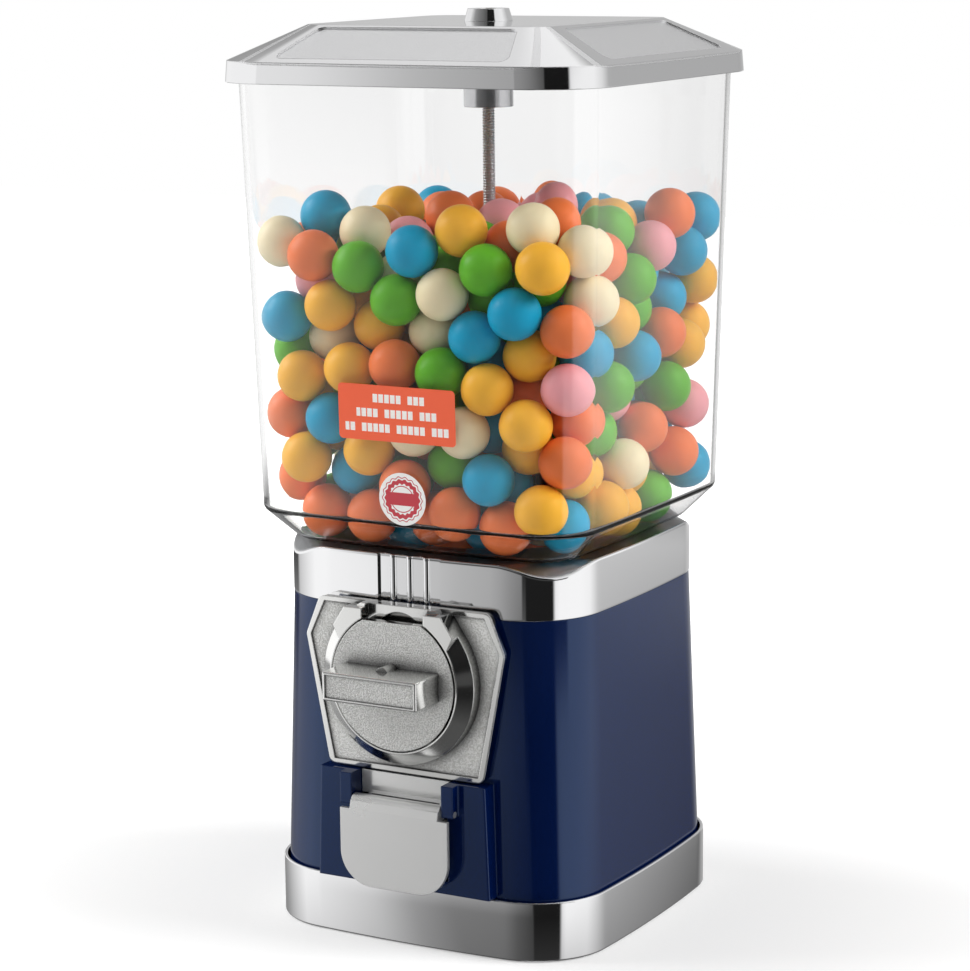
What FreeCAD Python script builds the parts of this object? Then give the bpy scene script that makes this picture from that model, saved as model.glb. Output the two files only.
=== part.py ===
import FreeCAD, Part
import math
import os
import random
import re
import Sketcher
from FreeCAD import Placement, Rotation, Vector

# Gumball machine in millimetres: +Z up, front towards -Y, origin on the floor under the centre rod.
SIZES = {
    # feet and base tray
    "foot_width": 18, "foot_height": 2, "foot_sink": 2, "foot_spacing": 108,
    "base_width": 170, "base_height": 28, "base_wall": 1.6, "base_floor": 3.5,
    "base_corner": 36, "side_radius": 800, "seat_gap": 0.3,
    "boss_width": 34, "boss_rise": 10, "boss_wall": 3.5,
    # cabinet shell
    "body_height": 152.5, "body_wall": 2.2, "body_top_width": 158.4, "body_corner": 36,
    # collar
    "collar_rim": 0.2, "collar_height": 25, "collar_wall": 4.9, "collar_deck": 3, "collar_lip": 6,
    "facet_spread_width": 21.2, "facet_angle": 46, "facet_round": 10, "edge_round": 0.8,
    "rib_panel_width": 32.4, "rib_panel_depth": 1.4, "rib_width": 3.6, "rib_pitch": 8.65,
    # globe
    "globe_foot_width": 143, "globe_foot_corner": 20, "globe_belly_width": 171.2, "globe_belly_rise": 15,
    "globe_corner": 26, "globe_mouth_width": 181.6, "globe_height": 217.5, "globe_wall": 2.5,
    "globe_side_radius": 2500,
    # lid and lock
    "lid_gap": 2.8, "lid_draft": 0.6, "lid_corner": 31, "lid_skirt": 9.6, "lid_overlap": 7.5,
    "lid_rise": 15.4, "lid_roof_width": 126, "lid_roof_corner": 11, "lid_wall": 1.8, "lid_seat": 5,
    "panel_foot_length": 119, "panel_top_length": 100, "panel_foot_inset": 4.5, "panel_top_inset": 2,
    "panel_depth": 0.9, "panel_corner": 4, "lid_side_radius": 5000,
    "lock_head_width": 22.4, "lock_head_top": 19, "lock_head_height": 5.6, "lock_neck_width": 16,
    "neck_rise": 3,
    "lock_body_width": 22.6, "lock_body_drop": 37, "plug_width": 10, "plug_depth": 11,
    "keyway_length": 6, "keyway_width": 1.4, "keyway_depth": 3,
    # centre rod and its nuts
    "rod_width": 6, "rod_grip": 22, "rod_foot": 2, "nut_flats": 10, "nut_height": 5,
    "washer_width": 18, "washer_thickness": 1.5, "thread_gap": 0.05,
    # hopper pan, wheel and guard
    "well_width": 117, "well_depth": 18, "pan_wall": 2, "pan_floor": 2.5, "pan_flange": 7.5, "pan_hub": 24,
    "pan_island": 99, "wheel_width": 115, "wheel_height": 25.8, "wheel_gap": 0.3, "wheel_pockets": 6,
    "pocket_width": 27.4, "pocket_ring": 63, "drop_width": 30, "bushing_width": 11, "bore_gap": 0.06,
    "guard_width": 33, "guard_thickness": 2.5, "guard_hub": 24, "pan_screw_width": 3, "pan_screw_grip": 2.2,
    "pan_screw_head": 5.4, "pan_screw_head_height": 2,
    # crown gear under the wheel and the pinion that drives it
    "crown_ring": 108, "crown_face": 4, "crown_teeth": 48, "pinion_teeth": 8, "pinion_face": 6,
    "tooth_head": 1.9, "tooth_root_gap": 0.3, "tooth_width": 2.5, "tooth_slope": 0.22, "notch_width": 26,
    # coin mechanism
    "pad_rise": 0.45, "pad_width": 78, "mech_window": 68, "window_rise": 25.5,
    "window_drop": 31, "pad_margin": 3,
    "plate_thickness": 3, "plate_top_width": 88, "plate_mid_width": 103, "plate_low_width": 80,
    "plate_rise": 34, "plate_mid_rise": 15.5, "plate_drop": 44.5, "plate_border": 2.4,
    "plate_recess": 0.9, "plate_corner": 4,
    "web_rise": 3.5, "ring_width": 78, "ring_rise": 10, "ring_bevel": 4.8, "ring_gap": 0.8,
    "horn_gap": 32, "horn_width": 12, "horn_rise": 3, "coin_width": 25, "coin_sink": 2.5, "coin_top": 31,
    "knob_width": 62.8, "knob_thickness": 4.2, "knob_gap": 3, "knob_flat": 27.6, "horn_level": 29.6,
    "bar_length": 48.4, "bar_height": 13.2, "bar_out": 20.5, "bar_lift": 0.7, "bar_border": 1.4,
    "bar_recess": 0.7, "bar_boss_width": 7, "bar_boss_length": 9, "bar_boss_rise": 1.9,
    "shaft_width": 8, "shaft_sink": 4.5, "back_thickness": 3, "back_width": 62,
    "back_rise": 23, "back_drop": 29, "pillar_length": 7, "pillar_width": 8, "pillar_spacing": 54,
    "pillar_pitch": 44, "screw_width": 4, "screw_head": 7, "screw_head_height": 2.4,
    "ratchet_width": 36, "ratchet_depth": 2.4, "ratchet_lean": 0.92, "ratchet_teeth": 12,
    "ratchet_thickness": 3,
    "pawl_pin_width": 3, "pawl_pin_side": 21.5, "pawl_pin_rise": 10, "pawl_width": 6, "pawl_gap": 0.4,
    "pawl_bar": 4, "ratchet_gap": 1.5, "sleeve_width": 14,
    # chute, surround and flap
    "block_rise": 6.9, "block_top_width": 86, "block_foot_width": 90, "block_gap": 0.7, "mouth_width": 47,
    "mouth_sill": 6, "cheek_width": 6, "cheek_rise": 5.1, "cheek_drop": 14.5,
    "chute_width": 36, "chute_wall": 1.5, "ramp_rise": 50, "chute_lip": 1.1, "roof_step": 29,
    "apron_inset": 4, "apron_drop": 11,
    "flap_width": 56, "flap_thickness": 2, "flap_rise": 2.8, "flap_drop": 38.6, "flap_corner": 16,
    "flap_shoulder": 2.8, "pin_width": 3, "pin_inset": 2, "pin_drop": 13, "knuckle_width": 7,
    "pin_gap": 0.05,
    # gumballs
    "ball_width": 23.4, "ball_gap": 0.3, "ball_level": 162,
}

# Heights and places that follow from the sizes.
PLACES = {
    "base_lift": "foot_height - foot_sink",
    "base_top": "base_lift + base_height",
    "floor_top": "base_lift + base_floor",
    "body_foot_width": "base_width - 2 * (base_wall + seat_gap)",
    "body_top": "floor_top + body_height",
    "collar_width": "body_top_width + 2 * collar_rim",
    "facet_reach": "(collar_width + facet_spread_width) / 2",
    "facet_start": "facet_reach - facet_round * tan(facet_angle / 2)",
    "collar_top": "body_top + collar_height",
    "globe_top": "collar_top + globe_height",
    "lid_rim_width": "globe_mouth_width + 2 * (lid_gap + lid_wall)",
    "lid_width": "lid_rim_width + 2 * lid_draft",
    "lid_foot": "globe_top - lid_overlap",
    "lid_rim": "lid_foot + lid_skirt",
    "lid_roof": "lid_rim + lid_rise",
    "lid_ceiling": "lid_roof - lid_wall",
    "lock_foot": "lid_ceiling - lock_body_drop",
    "lock_top": "lid_roof + lock_head_height",
    "rod_top": "lock_foot + rod_grip",
    "wheel_top": "collar_top - well_depth",
    "wheel_foot": "wheel_top - wheel_height",
    "pan_top": "wheel_foot - wheel_gap",
    "crown_pitch": "wheel_foot - tooth_head - tooth_root_gap",
    "crown_tip": "crown_pitch - tooth_head",
    "pan_low_top": "crown_tip - 2 * wheel_gap",
    "pan_foot": "pan_low_top - pan_floor",
    "pinion_radius": "crown_ring / 2 * pinion_teeth / crown_teeth",
    "axis_height": "crown_pitch - pinion_radius",
    "guard_foot": "wheel_top + wheel_gap",
    "guard_top": "guard_foot + guard_thickness",
    "pad_out": "max((body_foot_width + body_top_width) / 4; body_top_width / 2) + pad_rise",
    "block_out": "pad_out + block_rise",
    "apron_out": "block_out - apron_inset",
    "chute_front": "block_out + chute_lip",
    "cheek_out": "block_out + cheek_rise",
    "pin_out": "cheek_out - pin_inset",
    "flap_out": "cheek_out + flap_rise",
    "plate_out": "pad_out + plate_thickness",
    "web_out": "plate_out + web_rise",
    "ring_out": "plate_out + ring_rise",
    "ring_bore": "knob_width + 2 * ring_gap",
    "knob_back": "web_out + knob_gap",
    "knob_out": "knob_back + knob_thickness",
    "back_out": "pad_out - pillar_length",
    "plate_foot": "axis_height - plate_drop",
    "block_top": "plate_foot - block_gap",
    "block_foot": "base_top + block_gap",
    "pin_height": "block_top - pin_drop",
    "flap_top": "pin_height - flap_shoulder",
    "flap_foot": "pin_height - flap_drop",
    "chute_back": "(pocket_ring - drop_width) / 2 - seat_gap",
    "chute_fore": "(pocket_ring + drop_width) / 2 + seat_gap",
    "ramp_foot": "block_foot + mouth_sill + chute_wall",
    "ramp_head": "ramp_foot + ramp_rise",
    "apron_foot": "block_top - apron_drop",
    "roof_head": "apron_foot + roof_step",
    "collar_corner": "body_corner + (collar_width - body_top_width) / 2",
    "deck_foot": "collar_top - collar_deck",
    "pan_screw_reach": "(well_width / 2 + (pan_wall + pan_flange) / 2) / sqrt(2)",
    "lid_slope": "sqrt(lid_rise ^ 2 + ((lid_rim_width - lid_roof_width) / 2) ^ 2)",
    "neck_top": "lid_roof + neck_rise",
    "plug_foot": "lock_top - plug_depth",
    "boss_ceiling": "floor_top + boss_rise - boss_wall",
    "pillar_middle": "axis_height + (back_rise - back_drop) / 2",
    "pinion_front": "(crown_ring + pinion_face) / 2",
    "shaft_end": "(crown_ring - pinion_face) / 2 - seat_gap",
    "sleeve_front": "back_out - back_thickness - seat_gap",
}

doc = FreeCAD.newDocument("GumballMachine")
sizes = doc.addObject("Spreadsheet::Sheet", "Sizes")
for row, (name, number) in enumerate(SIZES.items(), start=1):
    sizes.set("A%d" % row, name)
    sizes.set("B%d" % row, str(number))
    sizes.setAlias("B%d" % row, name)
places = doc.addObject("Spreadsheet::Sheet", "Places")


def ex(formula):
    """Write a formula of size and place names as an expression that names their sheets."""
    def in_sheet(match):
        word = match.group(0)
        if word in SIZES:
            return "Sizes." + word
        if word in PLACES:
            return "Places." + word
        return word
    return re.sub(r"[a-z_]+", in_sheet, formula)


for row, (name, formula) in enumerate(PLACES.items(), start=1):
    places.set("A%d" % row, name)
    places.set("B%d" % row, "=" + ex(formula))
    places.setAlias("B%d" % row, name)
doc.recompute()


def val(formula):
    """Value of a formula of size and place names."""
    return float(sizes.evalExpression(ex(formula)))


nodes = {}


def keep(thing, label):
    """Name a finished sub-part; its label names its file."""
    thing.Label = label
    nodes[label] = thing
    return thing


def bind(thing, **formulas):
    """Tie properties of an object to formulas of the sizes."""
    for prop, formula in formulas.items():
        thing.setExpression(prop, ex(formula))
    return thing


def at(thing, x="0", y="0", z="0"):
    """Tie an object's place to formulas."""
    for axis, formula in zip("xyz", (x, y, z)):
        thing.setExpression("Placement.Base." + axis, ex(formula))
    return thing


def box(name, length, width, height, x, y, z):
    """Block with its lowest corner at x, y, z."""
    block = bind(doc.addObject("Part::Box", name), Length=length, Width=width, Height=height)
    return at(block, x, y, z)


def cylinder(name, diameter, height, x="0", y="0", z="0", axis=None):
    """Round bar that starts at x, y, z and runs along +Z, or along the axis given."""
    bar = doc.addObject("Part::Cylinder", name)
    bind(bar, Radius="(%s) / 2" % diameter, Height=height)
    if axis:
        bar.Placement = Placement(Vector(), Rotation(Vector(0, 0, 1), axis))
    return at(bar, x, y, z)


def cut(name, base, *tools):
    """Base with the tools taken away."""
    result = doc.addObject("Part::Cut", name)
    result.Base = base
    result.Tool = tools[0] if len(tools) == 1 else fuse(name + "_tools", *tools)
    return result


def fuse(name, *things):
    """Things joined into one solid."""
    result = doc.addObject("Part::MultiFuse", name)
    result.Shapes = list(things)
    result.Refine = True
    return result


def group(name, *things):
    """Separate solids kept together as one sub-part."""
    result = doc.addObject("Part::Compound", name)
    result.Links = list(things)
    return result


def body(name):
    return doc.addObject("PartDesign::Body", name)


def sketch(owner, name, role="XY_Plane", out="0"):
    """Sketch on one of the body's own planes, moved along its normal (-Y for XZ_Plane)."""
    flat = owner.newObject("Sketcher::SketchObject", owner.Name + "_" + name)
    plane = [feature for feature in owner.Origin.OriginFeatures if feature.Role == role][0]
    flat.AttachmentSupport = [(plane, "")]
    flat.MapMode = "FlatFace"
    flat.setExpression("AttachmentOffset.Base.z", ex(out))
    return flat


def hold(flat, kind, *where, size):
    """Dimension in a sketch, tied to a formula."""
    index = flat.addConstraint(Sketcher.Constraint(kind, *where, val(size)))
    flat.setExpression("Constraints[%d]" % index, ex(size))


def hold_point(flat, geometry, point, x, y):
    """Fix a point of a sketch at x, y from its origin."""
    for kind, formula, line in (("DistanceX", x, -2), ("DistanceY", y, -1)):
        if formula == "0":
            flat.addConstraint(Sketcher.Constraint("PointOnObject", geometry, point, line))
        elif val(formula) < 0:
            hold(flat, kind, geometry, point, -1, 1, size="-(%s)" % formula)
        else:
            hold(flat, kind, -1, 1, geometry, point, size=formula)


def draw_polygon(flat, points):
    """Closed polygon through points given as pairs of formulas."""
    spots = [Vector(val(x), val(y), 0) for x, y in points]
    first = flat.GeometryCount
    count = len(spots)
    for index in range(count):
        flat.addGeometry(Part.LineSegment(spots[index], spots[(index + 1) % count]))
    for index in range(count):
        after = first + (index + 1) % count
        flat.addConstraint(Sketcher.Constraint("Coincident", first + index, 2, after, 1))
    for index, (x, y) in enumerate(points):
        hold_point(flat, first + index, 1, x, y)


def draw_circle(flat, diameter, x="0", y="0"):
    """Circle of a diameter about x, y."""
    centre = Vector(val(x), val(y), 0)
    index = flat.addGeometry(Part.Circle(centre, Vector(0, 0, 1), val(diameter) / 2))
    hold(flat, "Diameter", index, size=diameter)
    hold_point(flat, index, 3, x, y)


def draw_rectangle(flat, x_low, x_high, y_low, y_high):
    draw_polygon(flat, [(x_low, y_low), (x_high, y_low), (x_high, y_high), (x_low, y_high)])


def draw_bowed_square(flat, width, corner, side_radius):
    """Square outline whose sides bow out on a large radius and whose corners are rounded.

    Width is measured from the middle of one side to the middle of the other. Each corner arc touches
    both side arcs, so its centre lies on the diagonal at the distance side_radius - corner from theirs.
    """
    half = val(width) / 2
    large = val(side_radius)
    small = val(corner)
    back = large - half
    reach = large - small
    along = (math.sqrt(2 * reach ** 2 - back ** 2) - back) / 2
    lean = math.atan2(along, along + back)
    first = flat.GeometryCount
    for quarter in range(4):
        middle = quarter * math.pi / 2
        inward = Vector(-back * math.cos(middle), -back * math.sin(middle), 0)
        side = Part.Circle(inward, Vector(0, 0, 1), large)
        flat.addGeometry(Part.ArcOfCircle(side, middle - lean, middle + lean))
        diagonal = middle + math.pi / 4
        centre = Vector(along, along, 0)
        centre = Rotation(Vector(0, 0, 1), math.degrees(middle)).multVec(centre)
        bend = Part.Circle(centre, Vector(0, 0, 1), small)
        flat.addGeometry(Part.ArcOfCircle(bend, middle + lean, diagonal + math.pi / 4 - lean))
    for index in range(8):
        after = first + (index + 1) % 8
        flat.addConstraint(Sketcher.Constraint("Tangent", first + index, 2, after, 1))
    offset = "(%s) - (%s) / 2" % (side_radius, width)
    for quarter in range(4):
        side = first + 2 * quarter
        if quarter % 2 == 0:
            flat.addConstraint(Sketcher.Constraint("PointOnObject", side, 3, -1))
        else:
            flat.addConstraint(Sketcher.Constraint("PointOnObject", side, 3, -2))
    hold(flat, "DistanceX", first, 3, -1, 1, size=offset)
    hold(flat, "DistanceY", first + 2, 3, -1, 1, size=offset)
    hold(flat, "DistanceX", -1, 1, first + 4, 3, size=offset)
    hold(flat, "DistanceY", -1, 1, first + 6, 3, size=offset)
    for quarter in range(1, 4):
        flat.addConstraint(Sketcher.Constraint("Equal", first, first + 2 * quarter))
        flat.addConstraint(Sketcher.Constraint("Equal", first + 1, first + 1 + 2 * quarter))
    hold(flat, "Radius", first, size=side_radius)
    hold(flat, "Radius", first + 1, size=corner)


def pad(owner, flat, length, back=False):
    feature = owner.newObject("PartDesign::Pad", flat.Name + "_pad")
    feature.Profile = flat
    feature.Reversed = back
    return bind(feature, Length=length)


def pocket(owner, flat, length, forward=False):
    """Cut along the sketch's normal if forward, else against it."""
    doc.recompute()
    before = owner.Shape.Volume
    feature = owner.newObject("PartDesign::Pocket", flat.Name + "_pocket")
    feature.Profile = flat
    feature.Reversed = forward
    bind(feature, Length=length)
    doc.recompute()
    if owner.Shape.Volume >= before - 1e-6:
        raise RuntimeError(flat.Name + " cuts nothing")
    return feature


def loft(owner, name, sections, hollow=False):
    """Straight-sided body through outlines."""
    kind = "PartDesign::SubtractiveLoft" if hollow else "PartDesign::AdditiveLoft"
    feature = owner.newObject(kind, owner.Name + "_" + name)
    feature.Profile = sections[0]
    feature.Sections = sections[1:]
    feature.Ruled = True
    return feature


def turned(owner, flat):
    """Profile turned about the body's Z axis."""
    feature = owner.newObject("PartDesign::Revolution", flat.Name + "_turned")
    feature.Profile = flat
    feature.ReferenceAxis = (flat, ["V_Axis"])
    feature.Angle = 360
    return feature


def round_edges(owner, name, radius, wanted):
    """Round the edges of the body's last feature that the test picks."""
    doc.recompute()
    tip = owner.Tip
    names = ["Edge%d" % (i + 1) for i, edge in enumerate(tip.Shape.Edges) if wanted(edge)]
    if not names:
        raise RuntimeError(owner.Name + " has no edge to round for " + name)
    feature = owner.newObject("PartDesign::Fillet", owner.Name + "_" + name)
    feature.Base = (tip, names)
    return bind(feature, Radius=radius)


def level(edge, height):
    """Whether an edge lies at one height."""
    limits = edge.BoundBox
    return abs(limits.ZMin - height) < 1e-3 and abs(limits.ZMax - height) < 1e-3


def reach(edge):
    """Greatest distance of an edge's middle from the Z axis along X or Y."""
    middle = edge.valueAt((edge.FirstParameter + edge.LastParameter) / 2)
    return max(abs(middle.x), abs(middle.y))


FRONT = Vector(0, -1, 0)
SIDEWAYS = Vector(1, 0, 0)
CORNERS = ((-1, -1), (1, -1), (1, 1), (-1, 1))


# Four rubber pads, let into the underside of the base tray and flush with it.
feet = []
for number, (side, end) in enumerate(CORNERS):
    place = ["%d * foot_spacing / 2" % sign for sign in (side, end)]
    feet.append(cylinder("Foot%d" % number, "foot_width", "foot_height", *place))
keep(group("Feet", *feet), "rubber_feet")

# Base tray: plated band with a floor, a raised boss for the rod's nut and sockets for the feet.
tray = body("Tray")
outline = sketch(tray, "band", out="base_lift")
draw_bowed_square(outline, "base_width", "base_corner", "side_radius")
pad(tray, outline, "base_height")
inside = sketch(tray, "inside", out="base_top")
draw_bowed_square(inside, "base_width - 2 * base_wall", "base_corner - base_wall", "side_radius - base_wall")
pocket(tray, inside, "base_height - base_floor")
boss = sketch(tray, "boss", out="floor_top")
draw_circle(boss, "boss_width")
pad(tray, boss, "boss_rise")
sockets = sketch(tray, "sockets", out="base_lift")
for side, end in CORNERS:
    draw_circle(sockets, "foot_width", "%d * foot_spacing / 2" % side, "%d * foot_spacing / 2" % end)
pocket(tray, sockets, "foot_sink", forward=True)
recess = sketch(tray, "recess", out="base_lift")
draw_circle(recess, "boss_width - 2 * boss_wall")
pocket(tray, recess, "base_floor + boss_rise - boss_wall", forward=True)
rod_way = sketch(tray, "rod_way", out="floor_top + boss_rise")
draw_circle(rod_way, "rod_width + 2 * seat_gap")
pocket(tray, rod_way, "boss_wall")
round_edges(tray, "rounding", "edge_round / 2", lambda edge: level(edge, val("base_top")))
keep(tray, "base_tray")

# Cabinet shell: moulded tapered box with the coin window's pad and the chute's surround on its front.
cabinet = body("Cabinet")
foot = sketch(cabinet, "foot", out="floor_top")
draw_bowed_square(foot, "body_foot_width", "base_corner - base_wall - seat_gap",
                  "side_radius - base_wall - seat_gap")
head = sketch(cabinet, "head", out="body_top")
draw_bowed_square(head, "body_top_width", "body_corner", "side_radius")
loft(cabinet, "outside", [foot, head])
surround = sketch(cabinet, "surround", "XZ_Plane", "block_out")
draw_polygon(surround, [("-block_foot_width / 2", "block_foot"), ("block_foot_width / 2", "block_foot"),
                        ("block_top_width / 2", "block_top"), ("-block_top_width / 2", "block_top")])
pad(cabinet, surround, "block_out - body_top_width / 2 + body_wall", back=True)
landing = sketch(cabinet, "landing", "XZ_Plane", "pad_out")
draw_rectangle(landing, "-pad_width / 2", "pad_width / 2",
               "axis_height - window_drop - pad_margin", "axis_height + window_rise + pad_margin")
pad(cabinet, landing, "pad_out - body_top_width / 2 + body_wall", back=True)
foot_inside = sketch(cabinet, "foot_inside", out="floor_top")
draw_bowed_square(foot_inside, "body_foot_width - 2 * body_wall",
                  "base_corner - base_wall - seat_gap - body_wall",
                  "side_radius - base_wall - seat_gap - body_wall")
head_inside = sketch(cabinet, "head_inside", out="body_top")
draw_bowed_square(head_inside, "body_top_width - 2 * body_wall", "body_corner - body_wall",
                  "side_radius - body_wall")
loft(cabinet, "inside", [foot_inside, head_inside], hollow=True)
cheeks = sketch(cabinet, "cheeks", "XZ_Plane", "block_out")
draw_rectangle(cheeks, "mouth_width / 2", "mouth_width / 2 + cheek_width",
               "block_top - cheek_drop", "block_top")
draw_rectangle(cheeks, "-mouth_width / 2 - cheek_width", "-mouth_width / 2",
               "block_top - cheek_drop", "block_top")
pad(cabinet, cheeks, "cheek_out - block_out")
mouth = sketch(cabinet, "mouth", "XZ_Plane", "cheek_out")
draw_rectangle(mouth, "-mouth_width / 2", "mouth_width / 2", "block_foot + mouth_sill", "block_top")
pocket(cabinet, mouth, "cheek_out - body_top_width / 2 + 3 * body_wall")
window = sketch(cabinet, "window", "XZ_Plane", "pad_out")
draw_rectangle(window, "-mech_window / 2", "mech_window / 2",
               "axis_height - window_drop", "axis_height + window_rise")
pocket(cabinet, window, "pad_out - body_top_width / 2 + 3 * body_wall")
pin_way = sketch(cabinet, "pin_way", "YZ_Plane", "-mouth_width / 2 - cheek_width")
draw_circle(pin_way, "pin_width + 2 * pin_gap", "-pin_out", "pin_height")
pocket(cabinet, pin_way, "mouth_width + 2 * cheek_width", forward=True)


def on_front(edge, out):
    """Whether an edge lies in the upright plane at a distance in front of the rod."""
    limits = edge.BoundBox
    return abs(limits.YMin + out) < 1e-3 and abs(limits.YMax + out) < 1e-3


round_edges(cabinet, "surround_rounding", "edge_round",
            lambda edge: on_front(edge, val("block_out")) and edge.BoundBox.ZLength > val("edge_round")
            and reach(edge) > val("block_top_width / 2 - edge_round"))
keep(cabinet, "cabinet_shell")

# Collar: plated ring with a deck under the globe, a ribbed panel in front and slanted corner facets.
collar = body("Collar")
outline = sketch(collar, "band", out="body_top")
draw_bowed_square(outline, "collar_width", "collar_corner", "side_radius")
pad(collar, outline, "collar_height")
hollow = sketch(collar, "hollow", out="body_top")
draw_bowed_square(hollow, "collar_width - 2 * collar_wall", "collar_corner - collar_wall",
                  "side_radius - collar_wall")
pocket(collar, hollow, "collar_height - collar_deck", forward=True)
lip = sketch(collar, "lip", out="body_top")
draw_bowed_square(lip, "body_top_width - 2 * (body_wall + seat_gap)", "body_corner - body_wall - seat_gap",
                  "side_radius - body_wall - seat_gap")
draw_bowed_square(lip, "collar_width - 2 * collar_wall", "collar_corner - collar_wall",
                  "side_radius - collar_wall")
pad(collar, lip, "collar_lip", back=True)
well = sketch(collar, "well", out="collar_top")
draw_circle(well, "well_width")
pocket(collar, well, "collar_deck")
rib_panel = sketch(collar, "rib_panel", "XZ_Plane", "collar_width / 2 + rib_panel_depth")
draw_rectangle(rib_panel, "-rib_panel_width / 2", "rib_panel_width / 2", "body_top", "collar_top")
pocket(collar, rib_panel, "2 * rib_panel_depth")
ribs = sketch(collar, "ribs", out="body_top")
for place in (-1, 0, 1):
    draw_circle(ribs, "rib_width", "%d * rib_pitch" % place if place else "0",
                "(rib_width - collar_width) / 2")
pad(collar, ribs, "collar_height")
deck_holes = sketch(collar, "deck_holes", out="collar_top - collar_deck")
for side, end in CORNERS:
    draw_circle(deck_holes, "pan_screw_width + 2 * thread_gap",
                "%d * pan_screw_reach" % side, "%d * pan_screw_reach" % end)
pocket(collar, deck_holes, "pan_screw_grip", forward=True)
facets = []
for quarter in range(4):
    turn = Rotation(Vector(0, 0, 1), 45 + 90 * quarter)
    along = turn.multVec(Vector(0, val("collar_width") / 2, 0))
    edge = turn.multVec(Vector(val("facet_reach"), 0, 0)) + Vector(0, 0, val("collar_top"))
    start = turn.multVec(Vector(val("facet_start"), 0, 0)) + Vector(0, 0, val("collar_top"))
    facet = bind(doc.addObject("Part::Box", "Facet%d" % quarter), Length="collar_width",
                 Width="collar_width", Height="collar_width")
    facet.Placement = Placement(edge - along, turn * Rotation(Vector(0, 1, 0), val("facet_angle")))
    blank = bind(doc.addObject("Part::Box", "FacetBlank%d" % quarter),
                 Length="2 * facet_round * sin(facet_angle / 2)", Width="collar_width", Height="facet_round")
    blank.Placement = Placement(start - along, turn * Rotation(Vector(0, 1, 0), val("facet_angle / 2")))
    roller = bind(doc.addObject("Part::Cylinder", "FacetRoller%d" % quarter), Radius="facet_round",
                  Height="collar_width")
    roller.Placement = Placement(start - along - Vector(0, 0, val("facet_round")),
                                 Rotation(Vector(0, 0, 1), along))
    facets += [facet, cut("FacetRounding%d" % quarter, blank, roller)]
keep(cut("FacetedCollar", collar, *facets), "collar")

# Globe: clear blow-moulded box that stands on the collar, open at the well and at the top.
globe = body("Globe")
sections = []
for name, height, width, corner in (
        ("foot", "collar_top", "globe_foot_width", "globe_foot_corner"),
        ("belly", "collar_top + globe_belly_rise", "globe_belly_width", "globe_corner"),
        ("mouth", "globe_top", "globe_mouth_width", "globe_corner")):
    section = sketch(globe, name, out=height)
    draw_bowed_square(section, width, corner, "globe_side_radius")
    sections.append(section)
loft(globe, "outside", sections)
sections = []
for name, height, width, corner in (
        ("foot_inside", "collar_top + globe_wall", "globe_foot_width - globe_wall",
         "globe_foot_corner - globe_wall"),
        ("belly_inside", "collar_top + globe_belly_rise + globe_wall / 2",
         "globe_belly_width - 2 * globe_wall", "globe_corner - globe_wall"),
        ("mouth_inside", "globe_top", "globe_mouth_width - 2 * globe_wall", "globe_corner - globe_wall")):
    section = sketch(globe, name, out=height)
    draw_bowed_square(section, width, corner, "globe_side_radius - globe_wall")
    sections.append(section)
loft(globe, "inside", sections, hollow=True)
way = sketch(globe, "way", out="collar_top + globe_wall")
draw_circle(way, "well_width")
pocket(globe, way, "globe_wall")
keep(globe, "globe")

# Lid: plated cover whose skirt goes over the globe, with four sunk panels on its slopes.
lid = body("Lid")
sections = []
for name, height, width, corner in (
        ("skirt", "lid_foot", "lid_width", "lid_corner"),
        ("rim", "lid_rim", "lid_rim_width", "lid_corner"),
        ("roof", "lid_roof", "lid_roof_width", "lid_roof_corner")):
    section = sketch(lid, name, out=height)
    draw_bowed_square(section, width, corner, "lid_side_radius")
    sections.append(section)
loft(lid, "outside", sections)
sections = []
for name, height, width, corner in (
        ("skirt_inside", "lid_foot", "lid_width - 2 * lid_wall", "lid_corner - lid_wall"),
        ("seat", "globe_top", "lid_rim_width - 2 * lid_wall", "lid_corner - lid_wall")):
    section = sketch(lid, name, out=height)
    draw_bowed_square(section, width, corner, "lid_side_radius - lid_wall")
    sections.append(section)
loft(lid, "skirt_hollow", sections, hollow=True)
sections = []
for name, height, width, corner in (
        ("hollow", "globe_top", "globe_mouth_width - 2 * globe_wall - lid_seat", "globe_corner - globe_wall"),
        ("ceiling", "lid_ceiling", "lid_roof_width - lid_seat", "lid_roof_corner - lid_wall")):
    section = sketch(lid, name, out=height)
    draw_bowed_square(section, width, corner, "lid_side_radius")
    sections.append(section)
loft(lid, "roof_hollow", sections, hollow=True)
lock_way = sketch(lid, "lock_way", out="lid_roof")
draw_circle(lock_way, "lock_neck_width + 2 * seat_gap")
pocket(lid, lock_way, "lid_wall")
slope = math.degrees(math.atan2(val("lid_rise"), val("(lid_rim_width - lid_roof_width) / 2")))
panels = []
for quarter in range(4):
    turn = Rotation(Vector(0, 0, 1), 90 * quarter)
    panel = doc.addObject("Part::Wedge", "Panel%d" % quarter)
    for prop, formula in (("Xmin", "-panel_foot_length / 2"), ("Xmax", "panel_foot_length / 2"),
                          ("X2min", "-panel_top_length / 2"), ("X2max", "panel_top_length / 2"),
                          ("Ymin", "panel_foot_inset"), ("Ymax", "lid_slope - panel_top_inset"),
                          ("Zmin", "-panel_depth"), ("Z2min", "-panel_depth"),
                          ("Zmax", "lid_wall"), ("Z2max", "lid_wall")):
        panel.setExpression(prop, ex(formula))
    start = turn.multVec(Vector(0, -val("lid_rim_width") / 2, val("lid_rim")))
    panel.Placement = Placement(start, turn.multiply(Rotation(Vector(1, 0, 0), slope)))
    doc.recompute()
    round_panel = doc.addObject("Part::Fillet", "RoundPanel%d" % quarter)
    round_panel.Base = panel
    round_panel.Edges = [(i + 1, val("panel_corner"), val("panel_corner"))
                         for i, edge in enumerate(panel.Shape.Edges)
                         if abs(edge.Length - val("lid_wall + panel_depth")) < 1e-6]
    panels.append(round_panel)
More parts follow.
